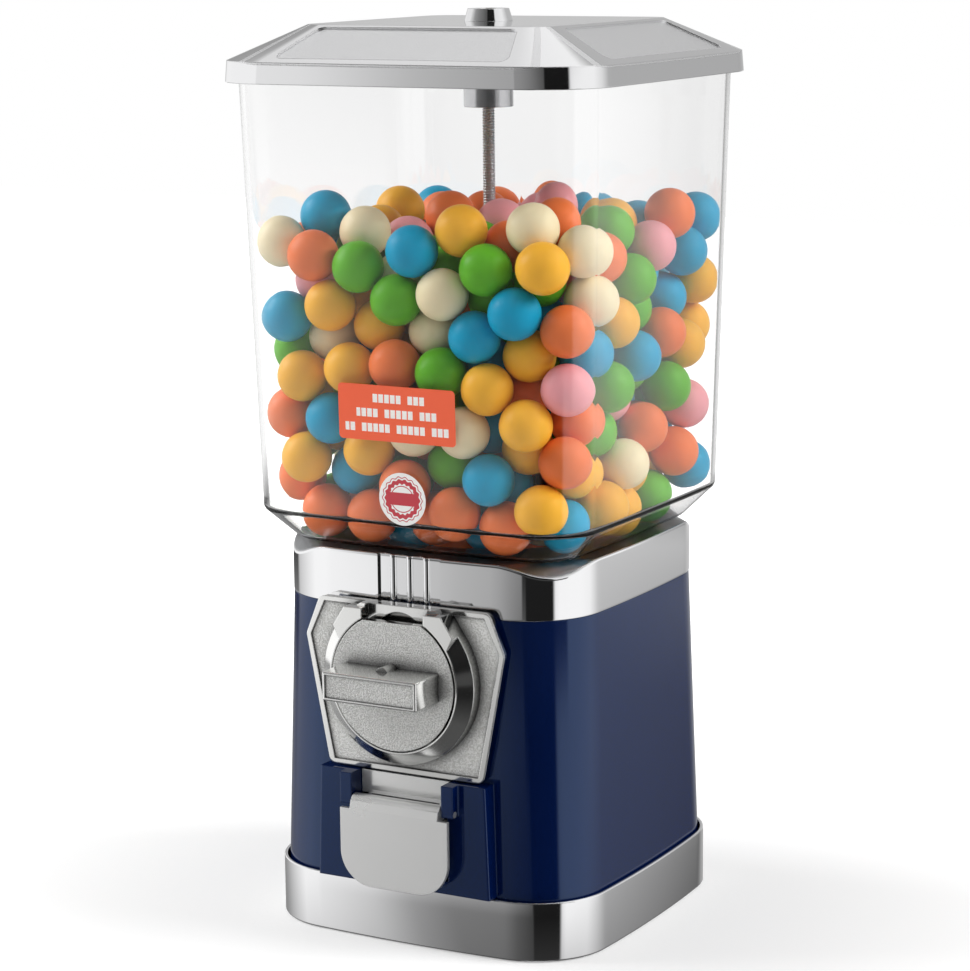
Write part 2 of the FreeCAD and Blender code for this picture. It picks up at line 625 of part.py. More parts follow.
keep(cut("PanelledLid", lid, *panels), "lid")

# Lock: barrel under the lid that holds the rod's end, head on top and a key plug inside.
barrel = body("Barrel")
profile = sketch(barrel, "profile", "XZ_Plane")
draw_polygon(profile, [
    ("rod_width / 2 + thread_gap", "lock_foot"), ("lock_body_width / 2", "lock_foot"),
    ("lock_body_width / 2", "lid_ceiling"), ("lock_neck_width / 2", "lid_ceiling"),
    ("lock_neck_width / 2", "neck_top"), ("plug_width / 2 + bore_gap", "neck_top"),
    ("plug_width / 2 + bore_gap", "plug_foot"), ("rod_width / 2 + thread_gap", "plug_foot")])
turned(barrel, profile)
keep(barrel, "lock_barrel")
cap = body("Cap")
profile = sketch(cap, "profile", "XZ_Plane")
draw_polygon(profile, [
    ("lock_neck_width / 2 + thread_gap", "lid_roof"), ("lock_head_width / 2", "lid_roof"),
    ("lock_head_top / 2", "lock_top"), ("plug_width / 2 + bore_gap", "lock_top"),
    ("plug_width / 2 + bore_gap", "neck_top"), ("lock_neck_width / 2 + thread_gap", "neck_top")])
turned(cap, profile)
keep(cap, "lock_head")
plug = cylinder("Plug", "plug_width", "plug_depth - seat_gap", z="plug_foot")
keyway = box("Keyway", "keyway_length", "keyway_width", "2 * keyway_depth",
             "-keyway_length / 2", "-keyway_width / 2", "lock_top - seat_gap - keyway_depth")
keep(cut("KeyedPlug", plug, keyway), "lock_plug")

# Centre rod that ties the lid to the base, with the nut and washer in the tray's boss.
keep(cylinder("Rod", "rod_width", "rod_top - rod_foot", z="rod_foot"), "center_rod")
washer = cylinder("Washer", "washer_width", "washer_thickness", z="boss_ceiling - washer_thickness")
washer_bore = cylinder("WasherBore", "rod_width + 2 * thread_gap", "washer_thickness",
                       z="boss_ceiling - washer_thickness")
keep(cut("RodWasher", washer, washer_bore), "rod_washer")


def hex_nut(name, height_at):
    """Hexagon nut on the rod."""
    blank = doc.addObject("Part::Prism", name + "_blank")
    blank.Polygon = 6
    bind(blank, Circumradius="nut_flats / sqrt(3)", Height="nut_height")
    at(blank, z=height_at)
    bore = cylinder(name + "_bore", "rod_width + 2 * thread_gap", "nut_height", z=height_at)
    return cut(name, blank, bore)


keep(hex_nut("RodNut", "boss_ceiling - washer_thickness - nut_height"), "rod_nut")

# Hopper pan: hangs under the collar's deck, holds the wheel on its island and drops balls at the front.
pan = body("Pan")
profile = sketch(pan, "profile", "XZ_Plane")
draw_polygon(profile, [
    ("rod_width / 2 + seat_gap", "pan_foot"), ("pan_hub / 2", "pan_foot"),
    ("pan_hub / 2", "pan_top - pan_floor"), ("pan_island / 2 - pan_floor", "pan_top - pan_floor"),
    ("pan_island / 2 - pan_floor", "pan_foot"), ("well_width / 2 + pan_wall", "pan_foot"),
    ("well_width / 2 + pan_wall", "deck_foot - pan_floor"),
    ("well_width / 2 + pan_flange", "deck_foot - pan_floor"),
    ("well_width / 2 + pan_flange", "deck_foot"), ("well_width / 2", "deck_foot"),
    ("well_width / 2", "pan_low_top"), ("pan_island / 2", "pan_low_top"),
    ("pan_island / 2", "pan_top"), ("rod_width / 2 + seat_gap", "pan_top")])
turned(pan, profile)
drop = sketch(pan, "drop", out="pan_top")
draw_circle(drop, "drop_width", "0", "-pocket_ring / 2")
pocket(pan, drop, "pan_top - pan_foot")
notch = sketch(pan, "notch", out="pan_foot")
draw_rectangle(notch, "-notch_width / 2", "notch_width / 2",
               "-well_width / 2 - pan_flange", "-pan_island / 2 - seat_gap")
pocket(pan, notch, "wheel_foot - pan_foot", forward=True)
flange_holes = sketch(pan, "flange_holes", out="deck_foot")
for side, end in CORNERS:
    draw_circle(flange_holes, "pan_screw_width + 2 * thread_gap",
                "%d * pan_screw_reach" % side, "%d * pan_screw_reach" % end)
pocket(pan, flange_holes, "pan_floor")
keep(pan, "hopper_pan")
screws = []
for number, (side, end) in enumerate(CORNERS):
    place = ["%d * pan_screw_reach" % sign for sign in (side, end)]
    shank = cylinder("PanShank%d" % number, "pan_screw_width", "pan_floor + pan_screw_grip - seat_gap",
                     *place, "deck_foot - pan_floor")
    knob_end = cylinder("PanHead%d" % number, "pan_screw_head", "pan_screw_head_height",
                        *place, "deck_foot - pan_floor - pan_screw_head_height")
    screws.append(fuse("PanScrew%d" % number, shank, knob_end))
keep(group("PanScrews", *screws), "pan_screws")

# Gumball wheel: turns on a fixed bushing round the rod, with pockets and crown teeth underneath.
bushing = cylinder("Bushing", "bushing_width", "guard_foot - pan_top", z="pan_top")
bushing_bore = cylinder("BushingBore", "rod_width + 2 * thread_gap", "guard_foot - pan_top", z="pan_top")
keep(cut("WheelBushing", bushing, bushing_bore), "wheel_bushing")
disc = cylinder("Disc", "wheel_width", "wheel_height", z="wheel_foot")
holes = [cylinder("DiscBore", "bushing_width + 2 * bore_gap", "wheel_height", z="wheel_foot")]
pocket_count = int(val("wheel_pockets"))
for number in range(pocket_count):
    angle = 360.0 / pocket_count * number - 90
    hole = cylinder("Pocket%d" % number, "pocket_width", "wheel_height",
                    "pocket_ring / 2 * cos(%.6f)" % angle,
                    "pocket_ring / 2 * sin(%.6f)" % angle, "wheel_foot")
    holes.append(hole)
pocketed = cut("PocketedDisc", disc, *holes)


def tooth_section(low, high, slope_up):
    """Half widths of a straight-sided tooth at two heights measured from its pitch line."""
    return [val("tooth_width") / 2 + slope_up * height for height in (low, high)]


crown = []
tooth_count = int(val("crown_teeth"))
low_half, high_half = tooth_section(-val("tooth_head"), val("tooth_head + 2 * tooth_root_gap"),
                                    val("tooth_slope"))
near = -val("(crown_ring + crown_face) / 2")
tip_height = val("crown_tip")
root_height = val("wheel_foot + tooth_root_gap")
corners = [Vector(-low_half, near, tip_height), Vector(low_half, near, tip_height),
           Vector(high_half, near, root_height), Vector(-high_half, near, root_height)]
tooth = Part.Face(Part.makePolygon(corners + corners[:1])).extrude(Vector(0, val("crown_face"), 0))
for number in range(tooth_count):
    copy = tooth.copy()
    copy.rotate(Vector(), Vector(0, 0, 1), 360.0 / tooth_count * (number + 0.5))
    crown.append(copy)
teeth = doc.addObject("Part::Feature", "CrownTeeth")
teeth.Shape = Part.Compound(crown)
teeth.Placement = Placement()
keep(fuse("GumballWheel", pocketed, teeth), "gumball_wheel")

# Ball guard over the drop, clamped on the bushing by a nut.
arm = box("GuardArm", "guard_width", "well_width / 2", "guard_thickness",
          "-guard_width / 2", "-well_width / 2", "guard_foot")
hub = cylinder("GuardHub", "guard_hub", "guard_thickness", z="guard_foot")
trim = cylinder("GuardTrim", "well_width - 2 * seat_gap", "guard_thickness", z="guard_foot")
blank = doc.addObject("Part::Common", "GuardBlank")
blank.Base = fuse("GuardWhole", arm, hub)
blank.Tool = trim
guard_bore = cylinder("GuardBore", "rod_width + 2 * thread_gap", "guard_thickness", z="guard_foot")
keep(cut("BallGuard", blank, guard_bore), "ball_guard")
keep(hex_nut("HubNut", "guard_top"), "hub_nut")

# Chute: pressed duct from the pan's drop to the mouth in the cabinet's front, with a bright apron.
chute = body("Chute")
walls = sketch(chute, "walls", "YZ_Plane", "-chute_width / 2 - chute_wall")
draw_polygon(walls, [
    ("chute_wall - chute_back", "pan_foot"), ("chute_wall - chute_back", "ramp_head - chute_wall"),
    ("-chute_front", "ramp_foot - chute_wall"), ("-chute_front", "pin_height - knuckle_width"),
    ("-apron_out", "apron_foot + chute_wall"), ("-chute_fore - chute_wall", "roof_head + chute_wall"),
    ("-chute_fore - chute_wall", "pan_foot")])
pad(chute, walls, "chute_width + 2 * chute_wall")
apron = sketch(chute, "apron", "XZ_Plane", "apron_out")
draw_rectangle(apron, "seat_gap - mouth_width / 2", "mouth_width / 2 - seat_gap",
               "apron_foot", "block_top - seat_gap")
pad(chute, apron, "chute_wall", back=True)
passage = sketch(chute, "passage", "YZ_Plane", "-chute_width / 2")
draw_polygon(passage, [
    ("-chute_back", "pan_foot"), ("-chute_back", "ramp_head"), ("-chute_front", "ramp_foot"),
    ("-chute_front", "apron_foot"), ("-apron_out", "apron_foot"), ("-chute_fore", "roof_head"),
    ("-chute_fore", "pan_foot")])
pocket(chute, passage, "chute_width", forward=True)
keep(chute, "chute")

# Flap: hangs on a pin between the cheeks and covers the mouth.
flap = body("Flap")
sheet_face = sketch(flap, "face", "XZ_Plane", "flap_out - flap_thickness")
draw_rectangle(sheet_face, "-flap_width / 2", "flap_width / 2", "flap_foot", "flap_top")
pad(flap, sheet_face, "flap_thickness")
round_edges(flap, "corners", "flap_corner",
            lambda edge: abs(edge.BoundBox.YLength - val("flap_thickness")) < 1e-3
            and abs(edge.BoundBox.ZMin - val("flap_foot")) < 1e-3)
roll = sketch(flap, "roll", "YZ_Plane", "seat_gap * 2 - mouth_width / 2")
draw_polygon(roll, [
    ("-flap_out", "flap_top - flap_thickness"), ("-flap_out", "flap_top"),
    ("-flap_out + flap_thickness / 2", "pin_height + flap_thickness / 2"),
    ("-pin_out", "pin_height + knuckle_width / 2"),
    ("-pin_out", "pin_height - pin_width / 2 - flap_thickness / 2"),
    ("flap_thickness - flap_out", "flap_top - flap_thickness")])
pad(flap, roll, "mouth_width - 4 * seat_gap")
knuckle = sketch(flap, "knuckle", "YZ_Plane", "seat_gap * 2 - mouth_width / 2")
draw_circle(knuckle, "knuckle_width", "-pin_out", "pin_height")
pad(flap, knuckle, "mouth_width - 4 * seat_gap")
pin_bore = sketch(flap, "pin_bore", "YZ_Plane", "seat_gap * 2 - mouth_width / 2")
draw_circle(pin_bore, "pin_width + 2 * pin_gap", "-pin_out", "pin_height")
pocket(flap, pin_bore, "mouth_width - 4 * seat_gap", forward=True)
keep(flap, "flap")
keep(cylinder("FlapPin", "pin_width", "mouth_width + 2 * cheek_width",
              "-mouth_width / 2 - cheek_width", "-pin_out", "pin_height", SIDEWAYS), "flap_pin")

# Coin plate: die-cast six-sided face with a sunk field, a raised ring and the coin's seat.
plate = body("Plate")
face = sketch(plate, "face", "XZ_Plane", "pad_out")
draw_polygon(face, [
    ("-plate_low_width / 2", "plate_foot"), ("plate_low_width / 2", "plate_foot"),
    ("plate_mid_width / 2", "axis_height + plate_mid_rise"),
    ("plate_top_width / 2", "axis_height + plate_rise"),
    ("-plate_top_width / 2", "axis_height + plate_rise"),
    ("-plate_mid_width / 2", "axis_height + plate_mid_rise")])
pad(plate, face, "plate_thickness")
round_edges(plate, "corners", "plate_corner",
            lambda edge: abs(edge.BoundBox.YLength - val("plate_thickness")) < 1e-3)
field = sketch(plate, "field", "XZ_Plane", "plate_out")
draw_polygon(field, [
    ("plate_border - plate_low_width / 2", "plate_foot + plate_border"),
    ("plate_low_width / 2 - plate_border", "plate_foot + plate_border"),
    ("plate_mid_width / 2 - plate_border", "axis_height + plate_mid_rise"),
    ("plate_top_width / 2 - plate_border", "axis_height + plate_rise - plate_border"),
    ("plate_border - plate_top_width / 2", "axis_height + plate_rise - plate_border"),
    ("plate_border - plate_mid_width / 2", "axis_height + plate_mid_rise")])
pocket(plate, field, "plate_recess")
ring = sketch(plate, "ring", "XZ_Plane", "plate_out - plate_recess")
draw_circle(ring, "ring_width", "0", "axis_height")
pad(plate, ring, "ring_rise + plate_recess")
bevel = sketch(plate, "bevel", "YZ_Plane")
bevel.setExpression("AttachmentOffset.Base.y", ex("axis_height"))
draw_polygon(bevel, [("-ring_out", "ring_bore / 2 + edge_round"), ("-ring_out", "ring_width / 2"),
                     ("ring_bevel - ring_out", "ring_width / 2")])
bevelled = plate.newObject("PartDesign::Groove", "Plate_bevelled")
bevelled.Profile = bevel
bevelled.ReferenceAxis = (bevel, ["H_Axis"])
bevelled.Angle = 360
for sign in (-1, 1):
    horn = sketch(plate, "horn_right" if sign > 0 else "horn_left", "XZ_Plane", "plate_out - plate_recess")
    draw_polygon(horn, [
        ("%d * horn_gap / 2" % sign, "axis_height + horn_level - horn_width / 2"),
        ("%d * (horn_gap / 2 + horn_width)" % sign, "axis_height + horn_level - horn_width"),
        ("%d * (horn_gap / 2 + horn_width + horn_rise)" % sign, "axis_height + horn_level - horn_width / 2"),
        ("%d * (horn_gap / 2 + horn_width - horn_rise)" % sign, "axis_height + horn_level + horn_rise"),
        ("%d * horn_gap / 2" % sign, "axis_height + horn_level + horn_rise")])
    pad(plate, horn, "ring_rise + plate_recess")
trim_top = sketch(plate, "trim_top", "XZ_Plane", "ring_out")
draw_rectangle(trim_top, "-ring_width / 2", "ring_width / 2", "axis_height + plate_rise",
               "axis_height + ring_width / 2 + ring_gap")
pocket(plate, trim_top, "ring_out - pad_out")
bore = sketch(plate, "bore", "XZ_Plane", "ring_out")
draw_circle(bore, "ring_bore", "0", "axis_height")
pocket(plate, bore, "ring_rise - web_rise")
gap = sketch(plate, "gap", "XZ_Plane", "ring_out")
draw_rectangle(gap, "-horn_gap / 2", "horn_gap / 2", "axis_height + coin_top - coin_width / 2",
               "axis_height + plate_rise + horn_rise")
pocket(plate, gap, "ring_rise - web_rise")
coin_seat = sketch(plate, "coin_seat", "XZ_Plane", "web_out")
draw_circle(coin_seat, "coin_width", "0", "axis_height + coin_top - coin_width / 2")
pocket(plate, coin_seat, "coin_sink")
shaft_way = sketch(plate, "shaft_way", "XZ_Plane", "web_out")
draw_circle(shaft_way, "shaft_width + 2 * bore_gap", "0", "axis_height")
pocket(plate, shaft_way, "web_rise + plate_thickness")
pillars = sketch(plate, "pillars", "XZ_Plane", "pad_out")
for side, end in CORNERS:
    draw_circle(pillars, "pillar_width", "%d * pillar_spacing / 2" % side,
                "pillar_middle + %d * pillar_pitch / 2" % end)
pad(plate, pillars, "pillar_length", back=True)
pillar_holes = sketch(plate, "pillar_holes", "XZ_Plane", "back_out")
for side, end in CORNERS:
    draw_circle(pillar_holes, "screw_width + 2 * thread_gap", "%d * pillar_spacing / 2" % side,
                "pillar_middle + %d * pillar_pitch / 2" % end)
pocket(plate, pillar_holes, "pillar_length", forward=True)
keep(plate, "coin_plate")

# Turning knob: die-cast disc with a flat over the coin seat and a bar handle with a sunk face.
knob = body("Knob")
disc_face = sketch(knob, "disc", "XZ_Plane", "knob_back")
draw_circle(disc_face, "knob_width", "0", "axis_height")
pad(knob, disc_face, "knob_thickness")
flat_cut = sketch(knob, "flat", "XZ_Plane", "knob_out")
draw_rectangle(flat_cut, "-knob_width / 2", "knob_width / 2", "axis_height + knob_flat",
               "axis_height + knob_width / 2 + ring_gap")
pocket(knob, flat_cut, "knob_thickness")
bar = sketch(knob, "bar", "XZ_Plane", "knob_out")
draw_rectangle(bar, "-bar_length / 2", "bar_length / 2", "axis_height + bar_lift - bar_height / 2",
               "axis_height + bar_lift + bar_height / 2")
pad(knob, bar, "bar_out")
round_edges(knob, "bar_rounding", "edge_round",
            lambda edge: edge.BoundBox.YMin < -val("knob_out + edge_round"))
sunk = sketch(knob, "sunk", "XZ_Plane", "knob_out + bar_out")
draw_rectangle(sunk, "bar_border - bar_length / 2", "bar_length / 2 - bar_border",
               "axis_height + bar_lift - bar_height / 2 + bar_border",
               "axis_height + bar_lift + bar_height / 2 - bar_border")
pocket(knob, sunk, "bar_recess")
bar_boss = sketch(knob, "bar_boss", "XZ_Plane", "knob_out")
draw_circle(bar_boss, "bar_boss_width", "0",
            "axis_height + bar_lift + (bar_height - bar_boss_width) / 2 + bar_boss_rise")
pad(knob, bar_boss, "bar_boss_length")
socket = sketch(knob, "socket", "XZ_Plane", "knob_back")
draw_circle(socket, "shaft_width + 2 * thread_gap", "0", "axis_height")
pocket(knob, socket, "shaft_sink", forward=True)
keep(knob, "turn_knob")

# Shaft from the knob to the pinion, with a ratchet wheel and a spacer sleeve on it.
keep(cylinder("Shaft", "shaft_width", "knob_back + shaft_sink - shaft_end", "0", "-knob_back - shaft_sink",
              "axis_height", -FRONT), "knob_shaft")


def extruded(name, outline_points, out, depth, bore_width):
    """Flat outline about the knob's axis, from a distance in front of the rod back by a depth, bored."""
    start = Vector(0, -val(out), val("axis_height"))
    spots = [start + Vector(x, 0, z) for x, z in outline_points]
    solid = Part.Face(Part.makePolygon(spots + spots[:1])).extrude(Vector(0, val(depth), 0))
    hole = Part.makeCylinder(val(bore_width) / 2, val(depth), start, -FRONT)
    feature = doc.addObject("Part::Feature", name)
    feature.Shape = solid.cut(hole)
    feature.Placement = Placement()
    return feature


saw = []
saw_count = int(val("ratchet_teeth"))
for number in range(saw_count):
    for share, radius in ((0, val("ratchet_width / 2 - ratchet_depth")),
                          (val("ratchet_lean"), val("ratchet_width / 2"))):
        angle = 2 * math.pi * (number + share) / saw_count
        saw.append((radius * math.sin(angle), radius * math.cos(angle)))
keep(extruded("Ratchet", saw, "back_out + ratchet_gap + ratchet_thickness", "ratchet_thickness",
              "shaft_width + 2 * thread_gap"), "ratchet_wheel")
sleeve = cylinder("Sleeve", "sleeve_width", "sleeve_front - pinion_front", "0", "-sleeve_front",
                  "axis_height", -FRONT)
sleeve_bore = cylinder("SleeveBore", "shaft_width + 2 * thread_gap", "sleeve_front - pinion_front", "0",
                       "-sleeve_front", "axis_height", -FRONT)
keep(cut("ShaftSleeve", sleeve, sleeve_bore), "shaft_sleeve")
cogs = []
cog_count = int(val("pinion_teeth"))
cog_foot, cog_tip = tooth_section(-val("tooth_head + 2 * tooth_root_gap"), val("tooth_head"),
                                  -val("tooth_slope"))
foot_radius = val("pinion_radius - tooth_head - 2 * tooth_root_gap")
tip_radius = val("pinion_radius + tooth_head")
for number in range(cog_count):
    turn = Rotation(Vector(0, 0, 1), -360.0 / cog_count * number)
    for x, z in ((-cog_foot, foot_radius), (-cog_tip, tip_radius), (cog_tip, tip_radius),
                 (cog_foot, foot_radius)):
        spot = turn.multVec(Vector(x, z, 0))
        cogs.append((spot.x, spot.y))
keep(extruded("Pinion", cogs, "pinion_front", "pinion_face", "shaft_width + 2 * thread_gap"), "drive_pinion")

# Back plate: bears the shaft behind the coin plate and carries the pawl on its pin.
back = body("Back")
back_face = sketch(back, "face", "XZ_Plane", "back_out - back_thickness")
draw_rectangle(back_face, "-back_width / 2", "back_width / 2",
               "axis_height - back_drop", "axis_height + back_rise")
pad(back, back_face, "back_thickness")
back_holes = sketch(back, "holes", "XZ_Plane", "back_out")
draw_circle(back_holes, "shaft_width + 2 * bore_gap", "0", "axis_height")
for side, end in CORNERS:
    draw_circle(back_holes, "screw_width + 2 * thread_gap", "%d * pillar_spacing / 2" % side,
                "pillar_middle + %d * pillar_pitch / 2" % end)
pocket(back, back_holes, "back_thickness")
keep(back, "mech_back_plate")
screws = []
for number, (side, end) in enumerate(CORNERS):
    place = ("%d * pillar_spacing / 2" % side, "back_thickness - back_out",
             "pillar_middle + %d * pillar_pitch / 2" % end)
    shank = cylinder("MechShank%d" % number, "screw_width", "back_thickness + pillar_length - seat_gap",
                     *place, FRONT)
    knob_end = cylinder("MechHead%d" % number, "screw_head", "screw_head_height", *place, -FRONT)
    screws.append(fuse("MechScrew%d" % number, shank, knob_end))
keep(group("MechScrews", *screws), "mech_screws")
pivot_place = ("pawl_pin_side", "-back_out", "axis_height + pawl_pin_rise")
keep(cylinder("PawlPin", "pawl_pin_width", "2 * ratchet_gap + ratchet_thickness", *pivot_place, FRONT),
     "pawl_pin")

# Pawl: falls on the ratchet wheel by its own weight; its underside clears the tooth tips.
pivot = Vector(val("pawl_pin_side"), -val("back_out + ratchet_gap"), val("axis_height + pawl_pin_rise"))
far = math.hypot(val("pawl_pin_side"), val("pawl_pin_rise"))
clear = val("ratchet_width / 2 + pawl_gap + pawl_bar / 2")
aim = math.atan2(val("pawl_pin_rise"), val("pawl_pin_side")) + math.pi - math.asin(clear / far)
along_bar = Vector(math.cos(aim), 0, math.sin(aim))
across = Vector(-along_bar.z, 0, along_bar.x)
bar_reach = math.sqrt(far ** 2 - clear ** 2) + val("pawl_bar")
bar_half = val("pawl_bar") / 2
bar_corners = [pivot + across * bar_half, pivot + along_bar * bar_reach + across * bar_half,
               pivot + along_bar * bar_reach - across * bar_half, pivot - across * bar_half]
bar_face = Part.Face(Part.makePolygon(bar_corners + bar_corners[:1]))
arm_solid = bar_face.extrude(FRONT * val("ratchet_thickness"))
eye = Part.makeCylinder(val("pawl_width") / 2, val("ratchet_thickness"), pivot, FRONT)
eye_bore = Part.makeCylinder(val("pawl_pin_width / 2 + pin_gap"), val("ratchet_thickness"), pivot, FRONT)
pawl = doc.addObject("Part::Feature", "Pawl")
pawl.Shape = arm_solid.fuse(eye).cut(eye_bore).removeSplitter()
pawl.Placement = Placement()
keep(pawl, "pawl")

# Gumballs: dropped one at a time into the globe and the well below it, sorted by colour.
BALL_COLOURS = {"yellow": 24, "orange": 22, "blue": 21, "green": 17, "pink": 9, "cream": 7}
BALL_SEED = 11
BALL_TRIES = 5
FIRST_STEP = 0.35
LAST_STEP = 0.01
ball_radius = val("ball_width / 2 + ball_gap / 2")
ball_pitch = 2 * ball_radius
wall_room = val("ball_width / 2 + ball_gap")
draw = random.Random(BALL_SEED)


def beyond(x, y, half, corner):
    """Plan distance of a point outside a rounded square whose sides bow on the globe's side radius."""
    half -= (min(abs(x), abs(y)) ** 2 / 2 + corner ** 2) / side_bow
    across_x = abs(x) - half + corner
    across_y = abs(y) - half + corner
    return math.hypot(max(across_x, 0), max(across_y, 0)) + min(max(across_x, across_y), 0) - corner


side_bow = val("globe_side_radius")
foot_half = val("(globe_foot_width - globe_wall) / 2")
foot_corner = val("globe_foot_corner - globe_wall")
belly_half = val("globe_belly_width / 2 - globe_wall")
mouth_half = val("globe_mouth_width / 2 - globe_wall")
upper_corner = val("globe_corner - globe_wall")
floor_height = val("collar_top + globe_wall")
belly_height = val("collar_top + globe_belly_rise + globe_wall / 2")
mouth_height = val("globe_top")
steepness = (belly_height - floor_height) / (belly_half - foot_half)
chamfer_lift = wall_room * math.hypot(1, steepness)
well_radius = val("well_width / 2")
wheel_floor = val("wheel_top + wheel_gap")
guard_floor = val("guard_top")
guard_reach = val("guard_width / 2") + wall_room
hub_reach = val("guard_hub / 2") + wall_room
nut_reach = val("nut_flats / sqrt(3)") + wall_room
nut_clear = val("guard_top + nut_height") + wall_room
rod_reach = val("rod_width / 2") + wall_room
top_limit = val("collar_top + ball_level - ball_width / 2")


def resting_height(x, y, settled):
    """Lowest centre height of a ball above x, y, or None where it would stand in a wall or the rod."""
    away = math.hypot(x, y)
    if away < rod_reach:
        return None
    if away <= well_radius - wall_room:
        over_guard = away < hub_reach or abs(x) < guard_reach and y < wall_room
        height = (guard_floor if over_guard else wheel_floor) + wall_room
    elif away < well_radius:
        height = floor_height + math.sqrt(wall_room ** 2 - (well_radius - away) ** 2)
    else:
        height = floor_height + wall_room
    height = max(height, floor_height + steepness * beyond(x, y, foot_half, foot_corner) + chamfer_lift)
    column = (int(x // ball_pitch), int(y // ball_pitch))
    for step_x in (-1, 0, 1):
        for step_y in (-1, 0, 1):
            for other_x, other_y, other_z in settled.get((column[0] + step_x, column[1] + step_y), ()):
                apart = (x - other_x) ** 2 + (y - other_y) ** 2
                if apart < ball_pitch ** 2:
                    height = max(height, other_z + math.sqrt(ball_pitch ** 2 - apart))
    if height < nut_clear and away < nut_reach:
        return None
    climb = max(height - belly_height, 0) / (mouth_height - belly_height)
    half = belly_half + (mouth_half - belly_half) * climb
    if beyond(x, y, half, upper_corner) > -wall_room:
        return None
    return height


def settle(settled):
    """Drop one ball at a random spot and let it creep downhill in shrinking steps."""
    height = None
    while height is None:
        x = draw.uniform(-mouth_half, mouth_half)
        y = draw.uniform(-mouth_half, mouth_half)
        height = resting_height(x, y, settled)
    stride = FIRST_STEP * ball_pitch
    while stride > LAST_STEP * ball_pitch:
        moves = []
        for eighth in range(8):
            near_x = x + stride * math.cos(eighth * math.pi / 4)
            near_y = y + stride * math.sin(eighth * math.pi / 4)
            lower = resting_height(near_x, near_y, settled)
            if lower is not None and lower < height - 1e-4:
                moves.append((lower, near_x, near_y))
        if moves:
            height, x, y = min(moves)
        else:
            stride /= 2
    return height, x, y


settled = {}
balls = {colour: [] for colour in BALL_COLOURS}
while True:
    height, x, y = min(settle(settled) for _ in range(BALL_TRIES))
    if height > top_limit:
        break
    settled.setdefault((int(x // ball_pitch), int(y // ball_pitch)), []).append((x, y, height))
    colour = draw.choices(list(BALL_COLOURS), BALL_COLOURS.values())[0]
    balls[colour].append(Part.makeSphere(val("ball_width") / 2, Vector(x, y, height)))
for colour, spheres in balls.items():
    heap = doc.addObject("Part::Feature", "Gumballs_" + colour)
    heap.Shape = Part.Compound(spheres)
    heap.Placement = Placement()
    keep(heap, "gumballs_" + colour)

doc.recompute()
for thing in doc.Objects:
    if "Invalid" in thing.State or "Error" in thing.State:
        raise RuntimeError("%s failed: %s" % (thing.Name, thing.State))
for label, thing in nodes.items():
    if thing.Shape.isNull() or not thing.Shape.isValid() or not thing.Shape.Solids:
        raise RuntimeError(label + " has no valid solid")
os.makedirs("parts", exist_ok=True)
for label, thing in nodes.items():
    thing.Shape.exportStep("parts/%s.step" % label)
    limits = thing.Shape.BoundBox
    print("%-18s %4d solids %10.0f mm3  z %.1f to %.1f" % (
        label, len(thing.Shape.Solids), thing.Shape.Volume, limits.ZMin, limits.ZMax))
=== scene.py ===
import bpy
import numpy as np
from mathutils import Matrix, Vector


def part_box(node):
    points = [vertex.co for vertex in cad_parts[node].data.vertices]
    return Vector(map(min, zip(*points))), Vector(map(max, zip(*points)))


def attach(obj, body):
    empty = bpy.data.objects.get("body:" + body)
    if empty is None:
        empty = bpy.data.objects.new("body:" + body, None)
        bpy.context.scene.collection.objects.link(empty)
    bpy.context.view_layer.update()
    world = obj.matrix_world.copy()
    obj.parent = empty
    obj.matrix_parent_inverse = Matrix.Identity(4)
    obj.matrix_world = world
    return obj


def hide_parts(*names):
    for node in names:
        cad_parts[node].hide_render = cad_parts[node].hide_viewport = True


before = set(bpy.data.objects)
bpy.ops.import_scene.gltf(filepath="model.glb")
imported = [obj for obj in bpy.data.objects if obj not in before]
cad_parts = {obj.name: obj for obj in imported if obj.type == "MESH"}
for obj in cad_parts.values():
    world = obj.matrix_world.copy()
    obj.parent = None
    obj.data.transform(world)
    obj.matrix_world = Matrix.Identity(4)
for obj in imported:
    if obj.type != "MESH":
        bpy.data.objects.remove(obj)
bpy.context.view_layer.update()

# Base tray and pads: a deep-drawn steel band with a floor, polished and bright-plated.
# It stands on four rubber pads, carries the cabinet inside its rim and has a boss for the rod's nut.
MM = 0.001
SHARES = np.linspace(-1, 1, 33)
CORNER_STEPS, BEND_STEPS = 27, 7


def srgb(code):
    """Linear colour of an sRGB hex code."""
    share = np.array([int(code[i:i + 2], 16) for i in (1, 3, 5)]) / 255
    linear = np.where(share <= 0.04045, share / 12.92, ((share + 0.055) / 1.055) ** 2.4)
    return (*linear.tolist(), 1.0)


def add(tree, kind, inputs=(), **settings):
    """Add a shader node with its settings, and fill its inputs, given by name or in order.

    A node is linked by its first output in use, a socket is linked as it is, and anything else is a value.
    """
    made = tree.nodes.new("ShaderNode" + kind)
    for name, value in settings.items():
        setattr(made, name, value)
    for name, value in inputs.items() if isinstance(inputs, dict) else enumerate(inputs):
        if isinstance(value, bpy.types.Node):
            value = next(socket for socket in value.outputs if socket.enabled)
        if isinstance(value, bpy.types.NodeSocket):
            tree.links.new(value, made.inputs[name])
        else:
            made.inputs[name].default_value = value
    return made


def new_material(name):
    """Empty node material, its tree and its object coordinates."""
    made = bpy.data.materials.new(name)
    made.use_nodes = True
    made.node_tree.nodes.clear()
    return made, made.node_tree, add(made.node_tree, "TexCoord").outputs["Object"]


def dress(material, *names):
    """Give CAD nodes a material."""
    for name in names:
        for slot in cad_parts[name].material_slots:
            slot.material = material


def link_piece(name, mesh, material, body, slot, *replaced):
    """Object of a mesh that rides on a body and stands in for CAD nodes."""
    piece = bpy.data.objects.new(name, mesh)
    bpy.context.scene.collection.objects.link(piece)
    mesh.materials.append(material)
    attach(piece, body)
    if replaced:
        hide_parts(*replaced)


